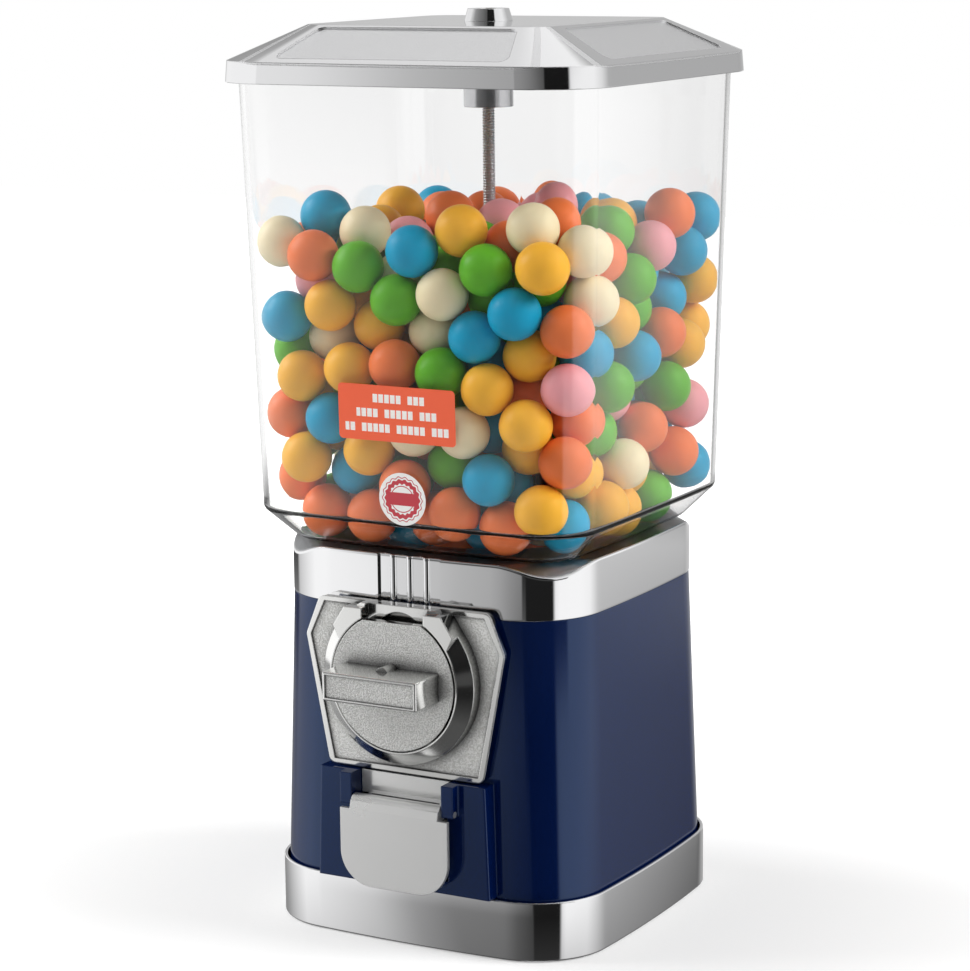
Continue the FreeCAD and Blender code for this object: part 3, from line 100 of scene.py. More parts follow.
def loft(name, grid, closed=True, sharp=35):
    """Mesh in mm through a grid of rows that run round; if closed, the last row joins the first."""
    rows, around = grid.shape[:2]
    index = np.arange(rows * around).reshape(rows, around)
    index = np.concatenate([index, index[:, :1]], axis=1)
    if closed:
        index = np.concatenate([index, index[:1]])
    quads = np.stack([index[:-1, :-1], index[:-1, 1:], index[1:, 1:], index[1:, :-1]], axis=-1)
    mesh = bpy.data.meshes.new(name)
    mesh.from_pydata((grid.reshape(-1, 3) * MM).tolist(), [], quads.reshape(-1, 4).tolist())
    mesh.shade_smooth()
    mesh.set_sharp_from_angle(angle=np.radians(sharp))
    return mesh


def bowed_square(half, corner, bow, front):
    """Square outline with bowed sides and round corners, counter-clockwise from the right side.

    A side is an arc of radius bow whose centre lies beyond the middle; a corner arc touches both its sides,
    so its centre is as far along X as along Y. The sides are sampled at shares of their length.
    """
    back = bow - half
    reach = bow - corner
    along = (np.sqrt(2 * reach ** 2 - back ** 2) - back) / 2
    lean = np.arctan2(along, along + back)
    turn = np.linspace(lean, np.pi / 2 - lean, CORNER_STEPS)[1:-1]
    bend = along + corner * np.stack([np.cos(turn), np.sin(turn)], axis=-1)
    parts = []
    for quarter, shares in enumerate((SHARES, SHARES, SHARES, front)):
        side = np.stack([bow * np.cos(shares * lean) - back, bow * np.sin(shares * lean)], axis=-1)
        c, s = np.cos(quarter * np.pi / 2), np.sin(quarter * np.pi / 2)
        parts.append(np.concatenate([side, bend]) @ np.array([[c, s], [-s, c]]))
    return np.concatenate(parts)


def tower(profile, bow, front=SHARES):
    """Grid of outlines from a closed profile of (half width, height, corner, roundness, softening).

    Each corner of the profile becomes a parabola that begins and ends at the softening distance from it:
    (1-t)^2 start + 2t(1-t) corner + t^2 end. Roundness 1 makes the row a circle of that half width.
    """
    points = np.array(profile, float)
    rows = []
    for before, here, after in zip(np.roll(points, 1, axis=0), points, np.roll(points, -1, axis=0)):
        steps = np.linspace(0, 1, BEND_STEPS)[:, None] if here[4] else np.zeros((1, 1))
        start, end = (here + (near - here) * here[4] / np.hypot(*(near - here)[:2])
                      for near in (before, after))
        rows.append((1 - steps) ** 2 * start + 2 * steps * (1 - steps) * here + steps ** 2 * end)
    grid = []
    for half, height, corner, roundness, _ in np.concatenate(rows):
        flat = bowed_square(half, corner, bow, front)
        ring = half * flat / np.linalg.norm(flat, axis=1, keepdims=True)
        flat = (1 - roundness) * flat + roundness * ring
        grid.append(np.column_stack([flat, np.full(len(flat), height)]))
    return np.stack(grid)


def plating(name, code, rough_low, rough_high, edge, bare=1.0):
    """Polished metal: a mirror with faint buffing haze about 40 mm wide, and edges rounded by buffing."""
    made, tree, place = new_material(name)
    haze = add(tree, "TexNoise", {"Vector": place, "Scale": 1 / (40 * MM), "Detail": 3.0})
    rough = add(tree, "MapRange", {"Value": haze, "To Min": rough_low, "To Max": rough_high})
    rounded = add(tree, "Bevel", {"Radius": edge * MM}, samples=6)
    metal = add(tree, "BsdfPrincipled", {"Base Color": srgb(code), "Metallic": bare, "Roughness": rough,
                                         "Normal": rounded})
    add(tree, "OutputMaterial", {"Surface": metal})
    return made


# Bright chrome plating gives the eye a near-white mirror that shows its surroundings sharply.
CHROME = "#F4F4F5"
chrome = plating("bright_chrome_plating", CHROME, 0.04, 0.09, 0.5)
tray_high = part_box("base_tray")[1] / MM
TRAY_HALF, TRAY_WALL, TRAY_CORNER, TRAY_BOW = tray_high.x, 1.6, 36, 800
TRAY_UNDERSIDE, TRAY_FLOOR, ROD_WAY = 0.3, 3.5, 3.05
NUT_ROOM, NUT_ROOF, BOSS_HALF, BOSS_TOP = 13.5, 10, 17, 13.5
RIM_SOFT, BEND_SOFT, RECESS_SOFT = 0.7, 1.0, 0.5
tray = tower([
    (ROD_WAY, NUT_ROOF, TRAY_CORNER, 1, 0), (NUT_ROOM, NUT_ROOF, TRAY_CORNER, 1, RECESS_SOFT),
    (NUT_ROOM, TRAY_UNDERSIDE, TRAY_CORNER, 1, RECESS_SOFT),
    (TRAY_HALF, TRAY_UNDERSIDE, TRAY_CORNER, 0, BEND_SOFT),
    (TRAY_HALF, tray_high.z, TRAY_CORNER, 0, RIM_SOFT),
    (TRAY_HALF - TRAY_WALL, tray_high.z, TRAY_CORNER - TRAY_WALL, 0, RIM_SOFT),
    (TRAY_HALF - TRAY_WALL, TRAY_FLOOR, TRAY_CORNER - TRAY_WALL, 0, BEND_SOFT),
    (BOSS_HALF, TRAY_FLOOR, TRAY_CORNER, 1, BEND_SOFT), (BOSS_HALF, BOSS_TOP, TRAY_CORNER, 1, BEND_SOFT),
    (ROD_WAY, BOSS_TOP, TRAY_CORNER, 1, 0)], TRAY_BOW)
link_piece("base_band", loft("base_band", tray), chrome, "cabinet", "plated", "base_tray")

# Black rubber is dull, and its moulded grain breaks up any shine. The grain is drawn coarser than it is, at
# 0.8 mm, so that it shows.
rubber, tree, place = new_material("black_rubber")
grain = add(tree, "TexNoise", {"Vector": place, "Scale": 1 / (0.8 * MM), "Detail": 2.0})
bump = add(tree, "Bump", {"Height": grain, "Distance": 0.1 * MM, "Strength": 0.5})
skin = add(tree, "BsdfPrincipled", {"Base Color": srgb("#1C1C1D"), "Roughness": 0.8, "Normal": bump})
add(tree, "OutputMaterial", {"Surface": skin})
dress(rubber, "rubber_feet")

# Centre rod: a zinc-plated steel stud, rolled with a 1.25 mm thread from end to end.
# It ties the lid's lock to the nut and washer in the tray's boss.
# Zinc plating gives the eye a soft grey metal that blurs what it mirrors.
zinc = plating("zinc_plated_steel", "#BFC2C6", 0.22, 0.34, 0.3, bare=0.75)
rod_low, rod_high = (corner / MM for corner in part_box("center_rod"))
ROD_CREST, ROD_TIP, THREAD_DEPTH, THREAD_PITCH = rod_high.x, 0.02, 0.55, 1.25
ROD_SIDES, ROWS_PER_TURN = 20, 6
# The radius is the crest less a triangle wave, whose phase is the height in pitches less the share of a turn.
climb = np.arange(rod_low.z, rod_high.z, THREAD_PITCH / ROWS_PER_TURN)
climb[-1] = rod_high.z
turn = np.linspace(0, 2 * np.pi, ROD_SIDES, endpoint=False)
phase = (climb[:, None] / THREAD_PITCH - turn / (2 * np.pi)) % 1
radius = ROD_CREST - THREAD_DEPTH * (1 - np.abs(2 * phase - 1))
radius[[0, -1]] = ROD_TIP
heights = np.broadcast_to(climb[:, None], radius.shape)
thread = np.stack([radius * np.cos(turn), radius * np.sin(turn), heights], axis=-1)
link_piece("threaded_rod", loft("threaded_rod", thread, closed=False, sharp=80), zinc, "cabinet", "steel",
           "center_rod")
dress(zinc, "rod_washer", "rod_nut")

# Cabinet shell: a moulded ABS box, navy all through, with the chute's surround and cheeks on its front.
# It stands in the base tray. Gloss ABS gives the eye a deep colour under a bluish shine that is a little
# wavy, 2.5 mm from crest to crest.
navy, tree, place = new_material("navy_gloss_abs")
drift = add(tree, "TexNoise", {"Vector": place, "Scale": 1 / (60 * MM), "Detail": 2.0})
shade = add(tree, "Mix", {"Factor": drift, "A": srgb("#02113A"), "B": srgb("#031542")}, data_type="RGBA")
peel = add(tree, "TexNoise", {"Vector": place, "Scale": 1 / (2.5 * MM), "Detail": 2.0})
rounded = add(tree, "Bevel", {"Radius": 0.8 * MM}, samples=6)
bump = add(tree, "Bump", {"Height": peel, "Distance": 0.01 * MM, "Strength": 0.25, "Normal": rounded})
rough = add(tree, "MapRange", {"Value": drift, "To Min": 0.07, "To Max": 0.12})
plastic = add(tree, "BsdfPrincipled", {"Base Color": shade, "Roughness": rough, "IOR": 1.5, "Normal": bump,
                                       "Specular IOR Level": 0.95, "Specular Tint": (0.47, 0.66, 1.0, 1.0)})
add(tree, "OutputMaterial", {"Surface": plastic})
dress(navy, "cabinet_shell")

# Collar: a plated casting that closes the cabinet and carries the globe on its deck.
# Its corners are slanted off, and three round ribs stand in a sunk panel in front.
COLLAR_HALF, COLLAR_CORNER, COLLAR_FOOT, COLLAR_TOP, WELL = 79.4, 36.2, 156, 181, 58.5
COLLAR_WALL, DECK, DECK_ROWS, LIP_FOOT, LIP_HALF = 4.9, 3, 20, 150, 76.7
PANEL_HALF, PANEL_DEPTH, PANEL_STEP, PANEL_FADE, FADE_START = 16.2, 1.4, 0.02, 6, 8
RIB_RADIUS, RIB_PITCH, RIB_STEPS, PLAIN_COLUMNS = 1.8, 8.65, 15, 12
FACET_START, FACET_ANGLE, FACET_ROUND = 85.755, np.radians(46), 10.0
COLLAR_SOFT, TOP_SOFT, NEAR_FOOT, NEAR_TOP, SHADE_BELOW, WELL_EDGE = 0.3, 0.8, 1, 1.5, 0.3, 0.6
rib_chord = np.sqrt(RIB_RADIUS ** 2 - (RIB_RADIUS - PANEL_DEPTH) ** 2)
rib = rib_chord * np.sin(np.linspace(-np.pi / 2, np.pi / 2, RIB_STEPS))
panel = np.array([-PANEL_HALF - PANEL_STEP, -PANEL_HALF + PANEL_STEP,
                  PANEL_HALF - PANEL_STEP, PANEL_HALF + PANEL_STEP])
side_half = bowed_square(COLLAR_HALF, COLLAR_CORNER, TRAY_BOW, SHARES)[SHARES.size - 1, 1]
columns = np.concatenate([rib - RIB_PITCH, rib, rib + RIB_PITCH, panel, side_half * SHARES[:PLAIN_COLUMNS],
                          side_half * SHARES[-PLAIN_COLUMNS:]])
front = np.sort(columns) / side_half
deck = [(half, COLLAR_TOP, COLLAR_CORNER, roundness, 0)
        for half, roundness in zip(np.linspace(COLLAR_HALF - 1, WELL, DECK_ROWS)[:-1],
                                   np.linspace(0, 1, DECK_ROWS)[:-1])]
# The rows near the edges keep the wall between them flat to the eye.
grid = tower([
    (COLLAR_HALF, COLLAR_FOOT, COLLAR_CORNER, 0, COLLAR_SOFT),
    (COLLAR_HALF, COLLAR_FOOT + NEAR_FOOT, COLLAR_CORNER, 0, 0),
    (COLLAR_HALF, COLLAR_TOP - NEAR_TOP, COLLAR_CORNER, 0, 0),
    (COLLAR_HALF, COLLAR_TOP, COLLAR_CORNER, 0, TOP_SOFT), *deck,
    (WELL, COLLAR_TOP, COLLAR_CORNER, 1, RECESS_SOFT),
    (WELL, COLLAR_TOP - DECK, COLLAR_CORNER, 1, RECESS_SOFT),
    (COLLAR_HALF - COLLAR_WALL, COLLAR_TOP - DECK, COLLAR_CORNER - COLLAR_WALL, 0, RECESS_SOFT),
    (COLLAR_HALF - COLLAR_WALL, LIP_FOOT, COLLAR_CORNER - COLLAR_WALL, 0, COLLAR_SOFT),
    (LIP_HALF, LIP_FOOT, COLLAR_CORNER - COLLAR_HALF + LIP_HALF, 0, COLLAR_SOFT),
    (LIP_HALF, COLLAR_FOOT, COLLAR_CORNER - COLLAR_HALF + LIP_HALF, 0, 0)], TRAY_BOW, front)
x, y, z = grid[..., 0], grid[..., 1], grid[..., 2]
# The panel is sunk to its depth less the ribs' circles, and fades out behind the front wall.
from_rib = x - RIB_PITCH * np.clip(np.round(x / RIB_PITCH), -1, 1)
rib_depth = RIB_RADIUS - np.sqrt(np.maximum(RIB_RADIUS ** 2 - from_rib ** 2, 0))
sunk = np.where(np.abs(x) < PANEL_HALF, np.minimum(rib_depth, PANEL_DEPTH), 0)
near_face = np.clip((-y - COLLAR_HALF + FADE_START) / PANEL_FADE, 0, 1)
grid[..., 1] += np.where(z > COLLAR_FOOT - 1, sunk * near_face, 0)
# Deck and facets, but not the well's edge, are rougher and take a painted shade. They are found before the
# corners drop.
deck_shade_mask = np.clip((z - COLLAR_TOP) / SHADE_BELOW + 1, 0, 1) * (np.abs(np.hypot(x, y) - WELL) > WELL_EDGE)
# A corner drops by how far it lies out along the diagonal: first on an arc, then on a straight slant.
out = (np.abs(x) + np.abs(y)) / np.sqrt(2) - FACET_START
on_round = np.clip(out, 0, FACET_ROUND * np.sin(FACET_ANGLE))
drop = (np.sqrt(FACET_ROUND ** 2 - on_round ** 2) - FACET_ROUND
        - np.maximum(out - FACET_ROUND * np.sin(FACET_ANGLE), 0) * np.tan(FACET_ANGLE))
grid[..., 2] += drop * np.clip((z - COLLAR_FOOT) / (COLLAR_TOP - COLLAR_FOOT), 0, 1)
mesh = loft("collar_casting", grid)
mesh.attributes.new("rough_shaded", "FLOAT", "POINT").data.foreach_set("value", deck_shade_mask.ravel().astype(np.float32))
# A plated casting gives the eye a mirror on its buffed faces. Deck and facets are rougher, and their darker
# grey, blotched 8 mm wide, is painted shade.
casting, tree, place = new_material("chrome_plated_casting")
rough_shaded = add(tree, "Attribute", attribute_name="rough_shaded").outputs["Fac"]
haze = add(tree, "TexNoise", {"Vector": place, "Scale": 1 / (8 * MM), "Detail": 3.0})
# Painted shade: the deck and facets take this darker grey in place of the chrome's colour.
shade_grey = add(tree, "Mix", {"Factor": haze, "A": srgb("#6A6B6C"), "B": srgb("#96979A")}, data_type="RGBA")
shade = add(tree, "Mix", {"Factor": rough_shaded, "A": srgb(CHROME), "B": shade_grey}, data_type="RGBA")
rough = add(tree, "MapRange", {"Value": rough_shaded, "To Min": 0.05, "To Max": 0.3})
metal = add(tree, "BsdfPrincipled", {"Base Color": shade, "Metallic": 1.0, "Roughness": rough})
add(tree, "OutputMaterial", {"Surface": metal})
link_piece("collar_casting", mesh, casting, "cabinet", "plated", "collar")

# Inner works: pressed steel, brass and white acetal pieces that show only with the cabinet open.
# Screws, nuts and pins are zinc-plated, the lock's plug and the sleeve are turned, and the wheel and pan are
# moulded.
dress(zinc, "pan_screws", "ball_guard", "hub_nut", "mech_screws", "mech_back_plate", "pawl", "pawl_pin",
      "knob_shaft", "ratchet_wheel", "flap_pin")
# Turned brass gives the eye a warm yellow metal, soft in its reflections.
brass = plating("turned_brass", "#D8B56A", 0.2, 0.3, 0.3)
dress(brass, "lock_plug", "shaft_sleeve")
# Acetal gives the eye a milky white with a waxy shine.
acetal, tree, place = new_material("white_acetal")
drift = add(tree, "TexNoise", {"Vector": place, "Scale": 1 / (30 * MM), "Detail": 2.0})
shade = add(tree, "Mix", {"Factor": drift, "A": srgb("#DAD9D2"), "B": srgb("#E6E5DF")}, data_type="RGBA")
plastic = add(tree, "BsdfPrincipled", {"Base Color": shade, "Roughness": 0.4})
add(tree, "OutputMaterial", {"Surface": plastic})
dress(acetal, "hopper_pan", "gumball_wheel", "wheel_bushing", "drive_pinion")

# Chute and flap: bright-dipped aluminium sheet, the flap with a satin face.
# The flap hangs on its pin between the cheeks; the apron under the coin plate is part of the chute.
# Satin aluminium gives the eye a pale even grey, and the chute a brighter one that mirrors a little more.
ALUMINIUM = "#F8F8F7"
dress(plating("satin_aluminium", ALUMINIUM, 0.24, 0.32, 0.4, bare=0.85), "flap")
dress(plating("bright_aluminium", ALUMINIUM, 0.12, 0.18, 0.4, bare=0.7), "chute")


# Coin plate: a zinc die casting with a pebbled sunk field and a buffed border, ring and horns.
# Four screws from inside clamp it on the cabinet's window.
def pebbled_casting(name, levels, code_low, code_high, bare):
    """Zinc die casting: flats at the given depths along Y are pebbled and the other faces are buffed.

    It gives the eye a sparkling grey field inside bright borders. The pebbles are about 0.6 mm wide and soft:
    noise smoothed to its two ends. Corners within 9 mm of the casting's other faces are painted darker:
    painted shade.
    """
    made, tree, place = new_material(name)
    depth = add(tree, "SeparateXYZ", {"Vector": place}).outputs["Y"]
    field = 0.0
    for flat in levels:
        here = add(tree, "Math", [depth, flat, 0.12 * MM], operation="COMPARE")
        field = add(tree, "Math", [field, here], operation="MAXIMUM")
    pebbles = add(tree, "TexNoise", {"Vector": place, "Scale": 1 / (0.6 * MM), "Detail": 0.6})
    pits = add(tree, "MapRange", {"Value": pebbles, "From Min": 0.32, "From Max": 0.68, "To Min": 1.0,
                                  "To Max": 0.0}, interpolation_type="SMOOTHSTEP")
    height = add(tree, "Math", [pits, field], operation="MULTIPLY")
    rounded = add(tree, "Bevel", {"Radius": 0.6 * MM}, samples=6)
    bump = add(tree, "Bump", {"Height": height, "Distance": 0.15 * MM, "Normal": rounded}, invert=True)
    rough = add(tree, "MapRange", {"Value": field, "To Min": 0.12, "To Max": 0.33})
    metallic = add(tree, "MapRange", {"Value": field, "To Min": 1.0, "To Max": bare})
    shade = add(tree, "Mix", {"Factor": height, "A": srgb(code_high), "B": srgb(code_low)}, data_type="RGBA")
    # Painted shade: where occlusion within 9 mm is strong, the colour turns dark grey.
    painted_shade_occlusion = add(tree, "AmbientOcclusion", {"Distance": 9 * MM}, samples=8, only_local=True)
    unshaded = add(tree, "MapRange", {"Value": painted_shade_occlusion.outputs["AO"], "From Min": 0.4, "From Max": 0.92})
    shade = add(tree, "Mix", {"Factor": unshaded, "A": srgb("#3E3E3F"), "B": shade}, data_type="RGBA")
    metal = add(tree, "BsdfPrincipled", {"Base Color": shade, "Metallic": metallic, "Roughness": rough,
                                         "Normal": bump})
    add(tree, "OutputMaterial", {"Surface": metal})
    return made


BUFFED, PLATE_FIELD = "#FFFFFD", -83.7 * MM
dress(pebbled_casting("pebbled_zinc_plate", [PLATE_FIELD], "#DEDEDA", BUFFED, 0.22), "coin_plate")

# Turning knob: a zinc casting, pebbled on its disc and on the sunk face of its bar handle.
# It is pinned on the shaft and turns with it.
KNOB_DISC, BAR_SUNK = -95.3 * MM, 0.7 * MM
bar_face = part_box("turn_knob")[0].y + BAR_SUNK
dress(pebbled_casting("pebbled_zinc_knob", [KNOB_DISC, bar_face], "#D2D2CF", BUFFED, 0.58), "turn_knob")

# Gumballs: sugar-shelled balls, panned and polished, each a little different in tone.
# They lie loose in the globe.
BALL_COLOURS = {"yellow": "#F4B436", "orange": "#EF7B42", "blue": "#009CC4", "green": "#5EAF22",
                "pink": "#F3A5AB", "cream": "#F0E1BA"}


def sugar_shell(name, code):
    """Polished sugar: soft gloss, tone that differs from ball to ball, and a faint 3 mm mottle."""
    made, tree, place = new_material(name)
    each = add(tree, "NewGeometry").outputs["Random Per Island"]
    mottle = add(tree, "TexNoise", {"Vector": place, "Scale": 1 / (3 * MM), "Detail": 2.0})
    tone = add(tree, "MapRange", {"Value": each, "To Min": 0.95, "To Max": 1.04})
    cloud = add(tree, "MapRange", {"Value": mottle, "To Min": 0.97, "To Max": 1.03})
    both = add(tree, "Math", [tone, cloud], operation="MULTIPLY")
    shade = add(tree, "HueSaturation", {"Color": srgb(code), "Value": both})
    rough = add(tree, "MapRange", {"Value": mottle, "To Min": 0.3, "To Max": 0.4})
    sugar = add(tree, "BsdfPrincipled", {"Base Color": shade, "Roughness": rough, "IOR": 1.45,
                                         "Specular IOR Level": 0.3, "Subsurface Weight": 0.1,
                                         "Subsurface Radius": (1.0, 0.7, 0.5), "Subsurface Scale": 1.5 * MM})
    add(tree, "OutputMaterial", {"Surface": sugar})
    return made


for colour, code in BALL_COLOURS.items():
    dress(sugar_shell("sugar_shell_" + colour, code), "gumballs_" + colour)

# Globe: blow-moulded clear polystyrene, 2.5 mm thick, with a bent belly edge.
# It stands on the collar's deck, and the lid closes it.
# Clear polystyrene gives the eye the balls behind a faint veil of reflections, and flow waves 45 mm long.
clear, tree, place = new_material("clear_polystyrene")
flow = add(tree, "TexNoise", {"Vector": place, "Scale": 1 / (45 * MM), "Detail": 1.0})
bump = add(tree, "Bump", {"Height": flow, "Distance": 0.05 * MM, "Strength": 0.2})
glass = add(tree, "BsdfPrincipled", {"Base Color": (1, 1, 1, 1), "Roughness": 0.0, "IOR": 1.49,
                                     "Transmission Weight": 1.0, "Normal": bump})
through = add(tree, "BsdfTransparent", {"Color": (1, 1, 1, 1)})
path = add(tree, "LightPath")
both = add(tree, "MixShader", [path.outputs["Is Shadow Ray"], glass, through])
soft = add(tree, "MixShader", [path.outputs["Is Diffuse Ray"], both, through])
add(tree, "OutputMaterial", {"Surface": soft})
GLOBE_FOOT, GLOBE_BELLY, GLOBE_MOUTH, GLOBE_WALL, GLOBE_BOW = 71.5, 85.6, 90.8, 2.5, 2500
BELLY_HEIGHT, GLOBE_TOP, FOOT_CORNER, WALL_CORNER = 196, 398.5, 20, 26
GLOBE_LEAN = (GLOBE_MOUTH - GLOBE_BELLY) / (GLOBE_TOP - BELLY_HEIGHT)
INNER_CORNER, HALF_WALL = WALL_CORNER - GLOBE_WALL, GLOBE_WALL / 2
FOOT_SOFT, BELLY_SOFT, MOUTH_SOFT = 2.5, 1.4, 0.8
INNER_FOOT_SOFT, INNER_BELLY_SOFT, WELL_SOFT = 2, 1.0, 0.6
# Rows close to the bends, in mm on the walls and as shares of the slopes, keep what lies between them flat
# to the eye, so that it doesn't bend light as a prism does.
NEAR_BELLY, NEAR_MOUTH, NEAR_FOOT_SHARE, NEAR_BELLY_SHARE = 4, 2.5, 0.17, 0.16
foot, belly = np.array([(GLOBE_FOOT, COLLAR_TOP, FOOT_CORNER, 0, 0),
                        (GLOBE_BELLY, BELLY_HEIGHT, WALL_CORNER, 0, 0)])
inner_foot, inner_belly = np.array([
    (GLOBE_FOOT - HALF_WALL, COLLAR_TOP + GLOBE_WALL, FOOT_CORNER - GLOBE_WALL, 0, 0),
    (GLOBE_BELLY - GLOBE_WALL, BELLY_HEIGHT + HALF_WALL, INNER_CORNER, 0, 0)])
grid = tower([
    (*foot[:4], FOOT_SOFT), foot + (belly - foot) * NEAR_FOOT_SHARE,
    belly + (foot - belly) * NEAR_BELLY_SHARE, (*belly[:4], BELLY_SOFT),
    (GLOBE_BELLY + NEAR_BELLY * GLOBE_LEAN, BELLY_HEIGHT + NEAR_BELLY, WALL_CORNER, 0, 0),
    (GLOBE_MOUTH - NEAR_MOUTH * GLOBE_LEAN, GLOBE_TOP - NEAR_MOUTH, WALL_CORNER, 0, 0),
    (GLOBE_MOUTH, GLOBE_TOP, WALL_CORNER, 0, MOUTH_SOFT),
    (GLOBE_MOUTH - GLOBE_WALL, GLOBE_TOP, INNER_CORNER, 0, MOUTH_SOFT),
    (GLOBE_MOUTH - GLOBE_WALL - NEAR_MOUTH * GLOBE_LEAN, GLOBE_TOP - NEAR_MOUTH, INNER_CORNER, 0, 0),
    (GLOBE_BELLY - GLOBE_WALL + NEAR_BELLY * GLOBE_LEAN, BELLY_HEIGHT + HALF_WALL + NEAR_BELLY,
     INNER_CORNER, 0, 0),
    (*inner_belly[:4], INNER_BELLY_SOFT), inner_belly + (inner_foot - inner_belly) * NEAR_BELLY_SHARE,
    inner_foot + (inner_belly - inner_foot) * NEAR_FOOT_SHARE, (*inner_foot[:4], INNER_FOOT_SOFT),
    (WELL, COLLAR_TOP + GLOBE_WALL, FOOT_CORNER, 1, WELL_SOFT),
    (WELL, COLLAR_TOP, FOOT_CORNER, 1, WELL_SOFT)], GLOBE_BOW)
link_piece("clear_globe", loft("clear_globe", grid, sharp=60), clear, "cabinet", "clear", "globe")

# Labels: two printed vinyl stickers pressed on the globe's front, an oblong one over a round one.
# The oblong is orange with rows of plain white bars; the round one is white with a red scalloped ring.
FILM = 0.15
RING_SHARES = np.array([0.002, 0.25, 0.5, 0.75, 1.0])


def sticker(name, outline, middle_x, middle_z, material):
    """Thin sheet on the globe's front: rings of its outline, in mm, laid on the bowed and leaning wall."""
    rings = RING_SHARES[:, None, None] * outline
    x, z = rings[..., 0] + middle_x, rings[..., 1] + middle_z
    half = GLOBE_BELLY + (z - BELLY_HEIGHT) * GLOBE_LEAN + FILM
    y = GLOBE_BOW - half - np.sqrt(GLOBE_BOW ** 2 - x ** 2)
    mesh = loft(name, np.stack([x, y, z], axis=-1), closed=False)
    corners = np.empty(len(mesh.loops), np.int32)
    mesh.loops.foreach_get("vertex_index", corners)
    mesh.uv_layers.new(name="print").data.foreach_set("uv", rings.reshape(-1, 2)[corners].ravel())
    link_piece(name, mesh, material, "cabinet", "white_plastic")


def vinyl(name, paint):
    """Gloss vinyl: even flat colours under a film with a soft shine, uneven over 4 mm.

    The function given draws the print from the sheet's own coordinates in mm.
    """
    made, tree, place = new_material(name)
    parts = add(tree, "SeparateXYZ", {"Vector": add(tree, "UVMap", uv_map="print")})
    ink = paint(tree, parts.outputs["X"], parts.outputs["Y"])
    grain = add(tree, "TexNoise", {"Vector": place, "Scale": 1 / (4 * MM)})
    rough = add(tree, "MapRange", {"Value": grain, "To Min": 0.3, "To Max": 0.42})
    film = add(tree, "BsdfPrincipled", {"Base Color": ink, "Roughness": rough})
    add(tree, "OutputMaterial", {"Surface": film})
    return made


ROW_PITCH, ROWS_HALF, BAR_HALF, LONGEST_ROW, ROW_TAPER = 6.7, 10.0, 1.9, 26.6, 6.0
STROKE_PITCH, STROKE, GROUP_PITCH, GROUP = 3.0, 2.4, 18.0, 15.0


def oblong_print(tree, u, v):
    """White bars on orange: three rows 6.7 mm apart, wider towards the bottom, cut into 2.4 mm strokes.

    A row's number is the whole part of the height over the pitch. Each row is shorter than the one under it,
    and its groups of strokes are shifted by as much.
    """
    rise = add(tree, "Math", [v, 1.5 * ROW_PITCH], operation="ADD")
    step = add(tree, "Math", [rise, ROW_PITCH], operation="FLOORED_MODULO")
    line = add(tree, "Math", [add(tree, "Math", [rise, ROW_PITCH], operation="DIVIDE")], operation="FLOOR")
    reach = add(tree, "Math", [line, -ROW_TAPER, LONGEST_ROW], operation="MULTIPLY_ADD")
    slide = add(tree, "Math", [line, ROW_TAPER, u], operation="MULTIPLY_ADD")
    cut = add(tree, "Math", [u, STROKE_PITCH], operation="FLOORED_MODULO")
    gap = add(tree, "Math", [slide, GROUP_PITCH], operation="FLOORED_MODULO")
    ink = add(tree, "Math", [step, ROW_PITCH / 2, BAR_HALF], operation="COMPARE")
    sideways = add(tree, "Math", [u], operation="ABSOLUTE")
    for share in (add(tree, "Math", [v, 0.0, ROWS_HALF], operation="COMPARE"),
                  add(tree, "Math", [sideways, reach], operation="LESS_THAN"),
                  add(tree, "Math", [cut, STROKE], operation="LESS_THAN"),
                  add(tree, "Math", [gap, GROUP], operation="LESS_THAN")):
        ink = add(tree, "Math", [ink, share], operation="MULTIPLY")
    return add(tree, "Mix", {"Factor": ink, "A": srgb("#FF6840"), "B": srgb("#FFFAF5")}, data_type="RGBA")


LOBES, LOBE_HEIGHT, RING_MIDDLE, RING_HALF = 18.0, 0.35, 7.9, 1.0
OUTER_LINE, INNER_LINE, LINE_HALF, BAND_HALF, BAND_REACH = 9.9, 5.9, 0.22, 2.9, 8.0


def round_print(tree, u, v):
    """Red scalloped ring with 18 lobes, a thin line on either side of it and a red band across, on white.

    The scallop is the distance from the middle less a cosine of 18 times the angle.
    """
    across = add(tree, "Math", [u, u], operation="MULTIPLY")
    away = add(tree, "Math", [add(tree, "Math", [v, v, across], operation="MULTIPLY_ADD")], operation="SQRT")
    angle = add(tree, "Math", [add(tree, "Math", [v, u], operation="ARCTAN2"), LOBES], operation="MULTIPLY")
    wave = add(tree, "Math", [add(tree, "Math", [angle], operation="COSINE"), -LOBE_HEIGHT, away],
               operation="MULTIPLY_ADD")
    upright = add(tree, "Math", [v], operation="ABSOLUTE")
    beside = add(tree, "Math", [upright, BAND_HALF], operation="LESS_THAN")
    within = add(tree, "Math", [away, BAND_REACH], operation="LESS_THAN")
    ink = add(tree, "Math", [beside, within], operation="MULTIPLY")
    for distance, middle, half in ((wave, RING_MIDDLE, RING_HALF), (wave, OUTER_LINE, LINE_HALF),
                                   (away, INNER_LINE, LINE_HALF)):
        line = add(tree, "Math", [distance, middle, half], operation="COMPARE")
        ink = add(tree, "Math", [ink, line], operation="MAXIMUM")
    return add(tree, "Mix", {"Factor": ink, "A": srgb("#FDFBF8"), "B": srgb("#CC3E4A")}, data_type="RGBA")


turn = np.linspace(0, 2 * np.pi, 96, endpoint=False)
ROUND = np.stack([np.cos(turn), np.sin(turn)], axis=-1)
LABEL_HALF, LABEL_CORNER, LABEL_MIDDLE = np.array([30.0, 12.6]), 2.0, (-0.5, 246.6)
BADGE_RADIUS, BADGE_MIDDLE = 12.0, (1.4, 208.4)
oblong = LABEL_CORNER * ROUND + np.sign(ROUND) * (LABEL_HALF - LABEL_CORNER)
sticker("oblong_label", oblong, *LABEL_MIDDLE, vinyl("orange_vinyl", oblong_print))
sticker("round_label", BADGE_RADIUS * ROUND, *BADGE_MIDDLE, vinyl("white_vinyl", round_print))

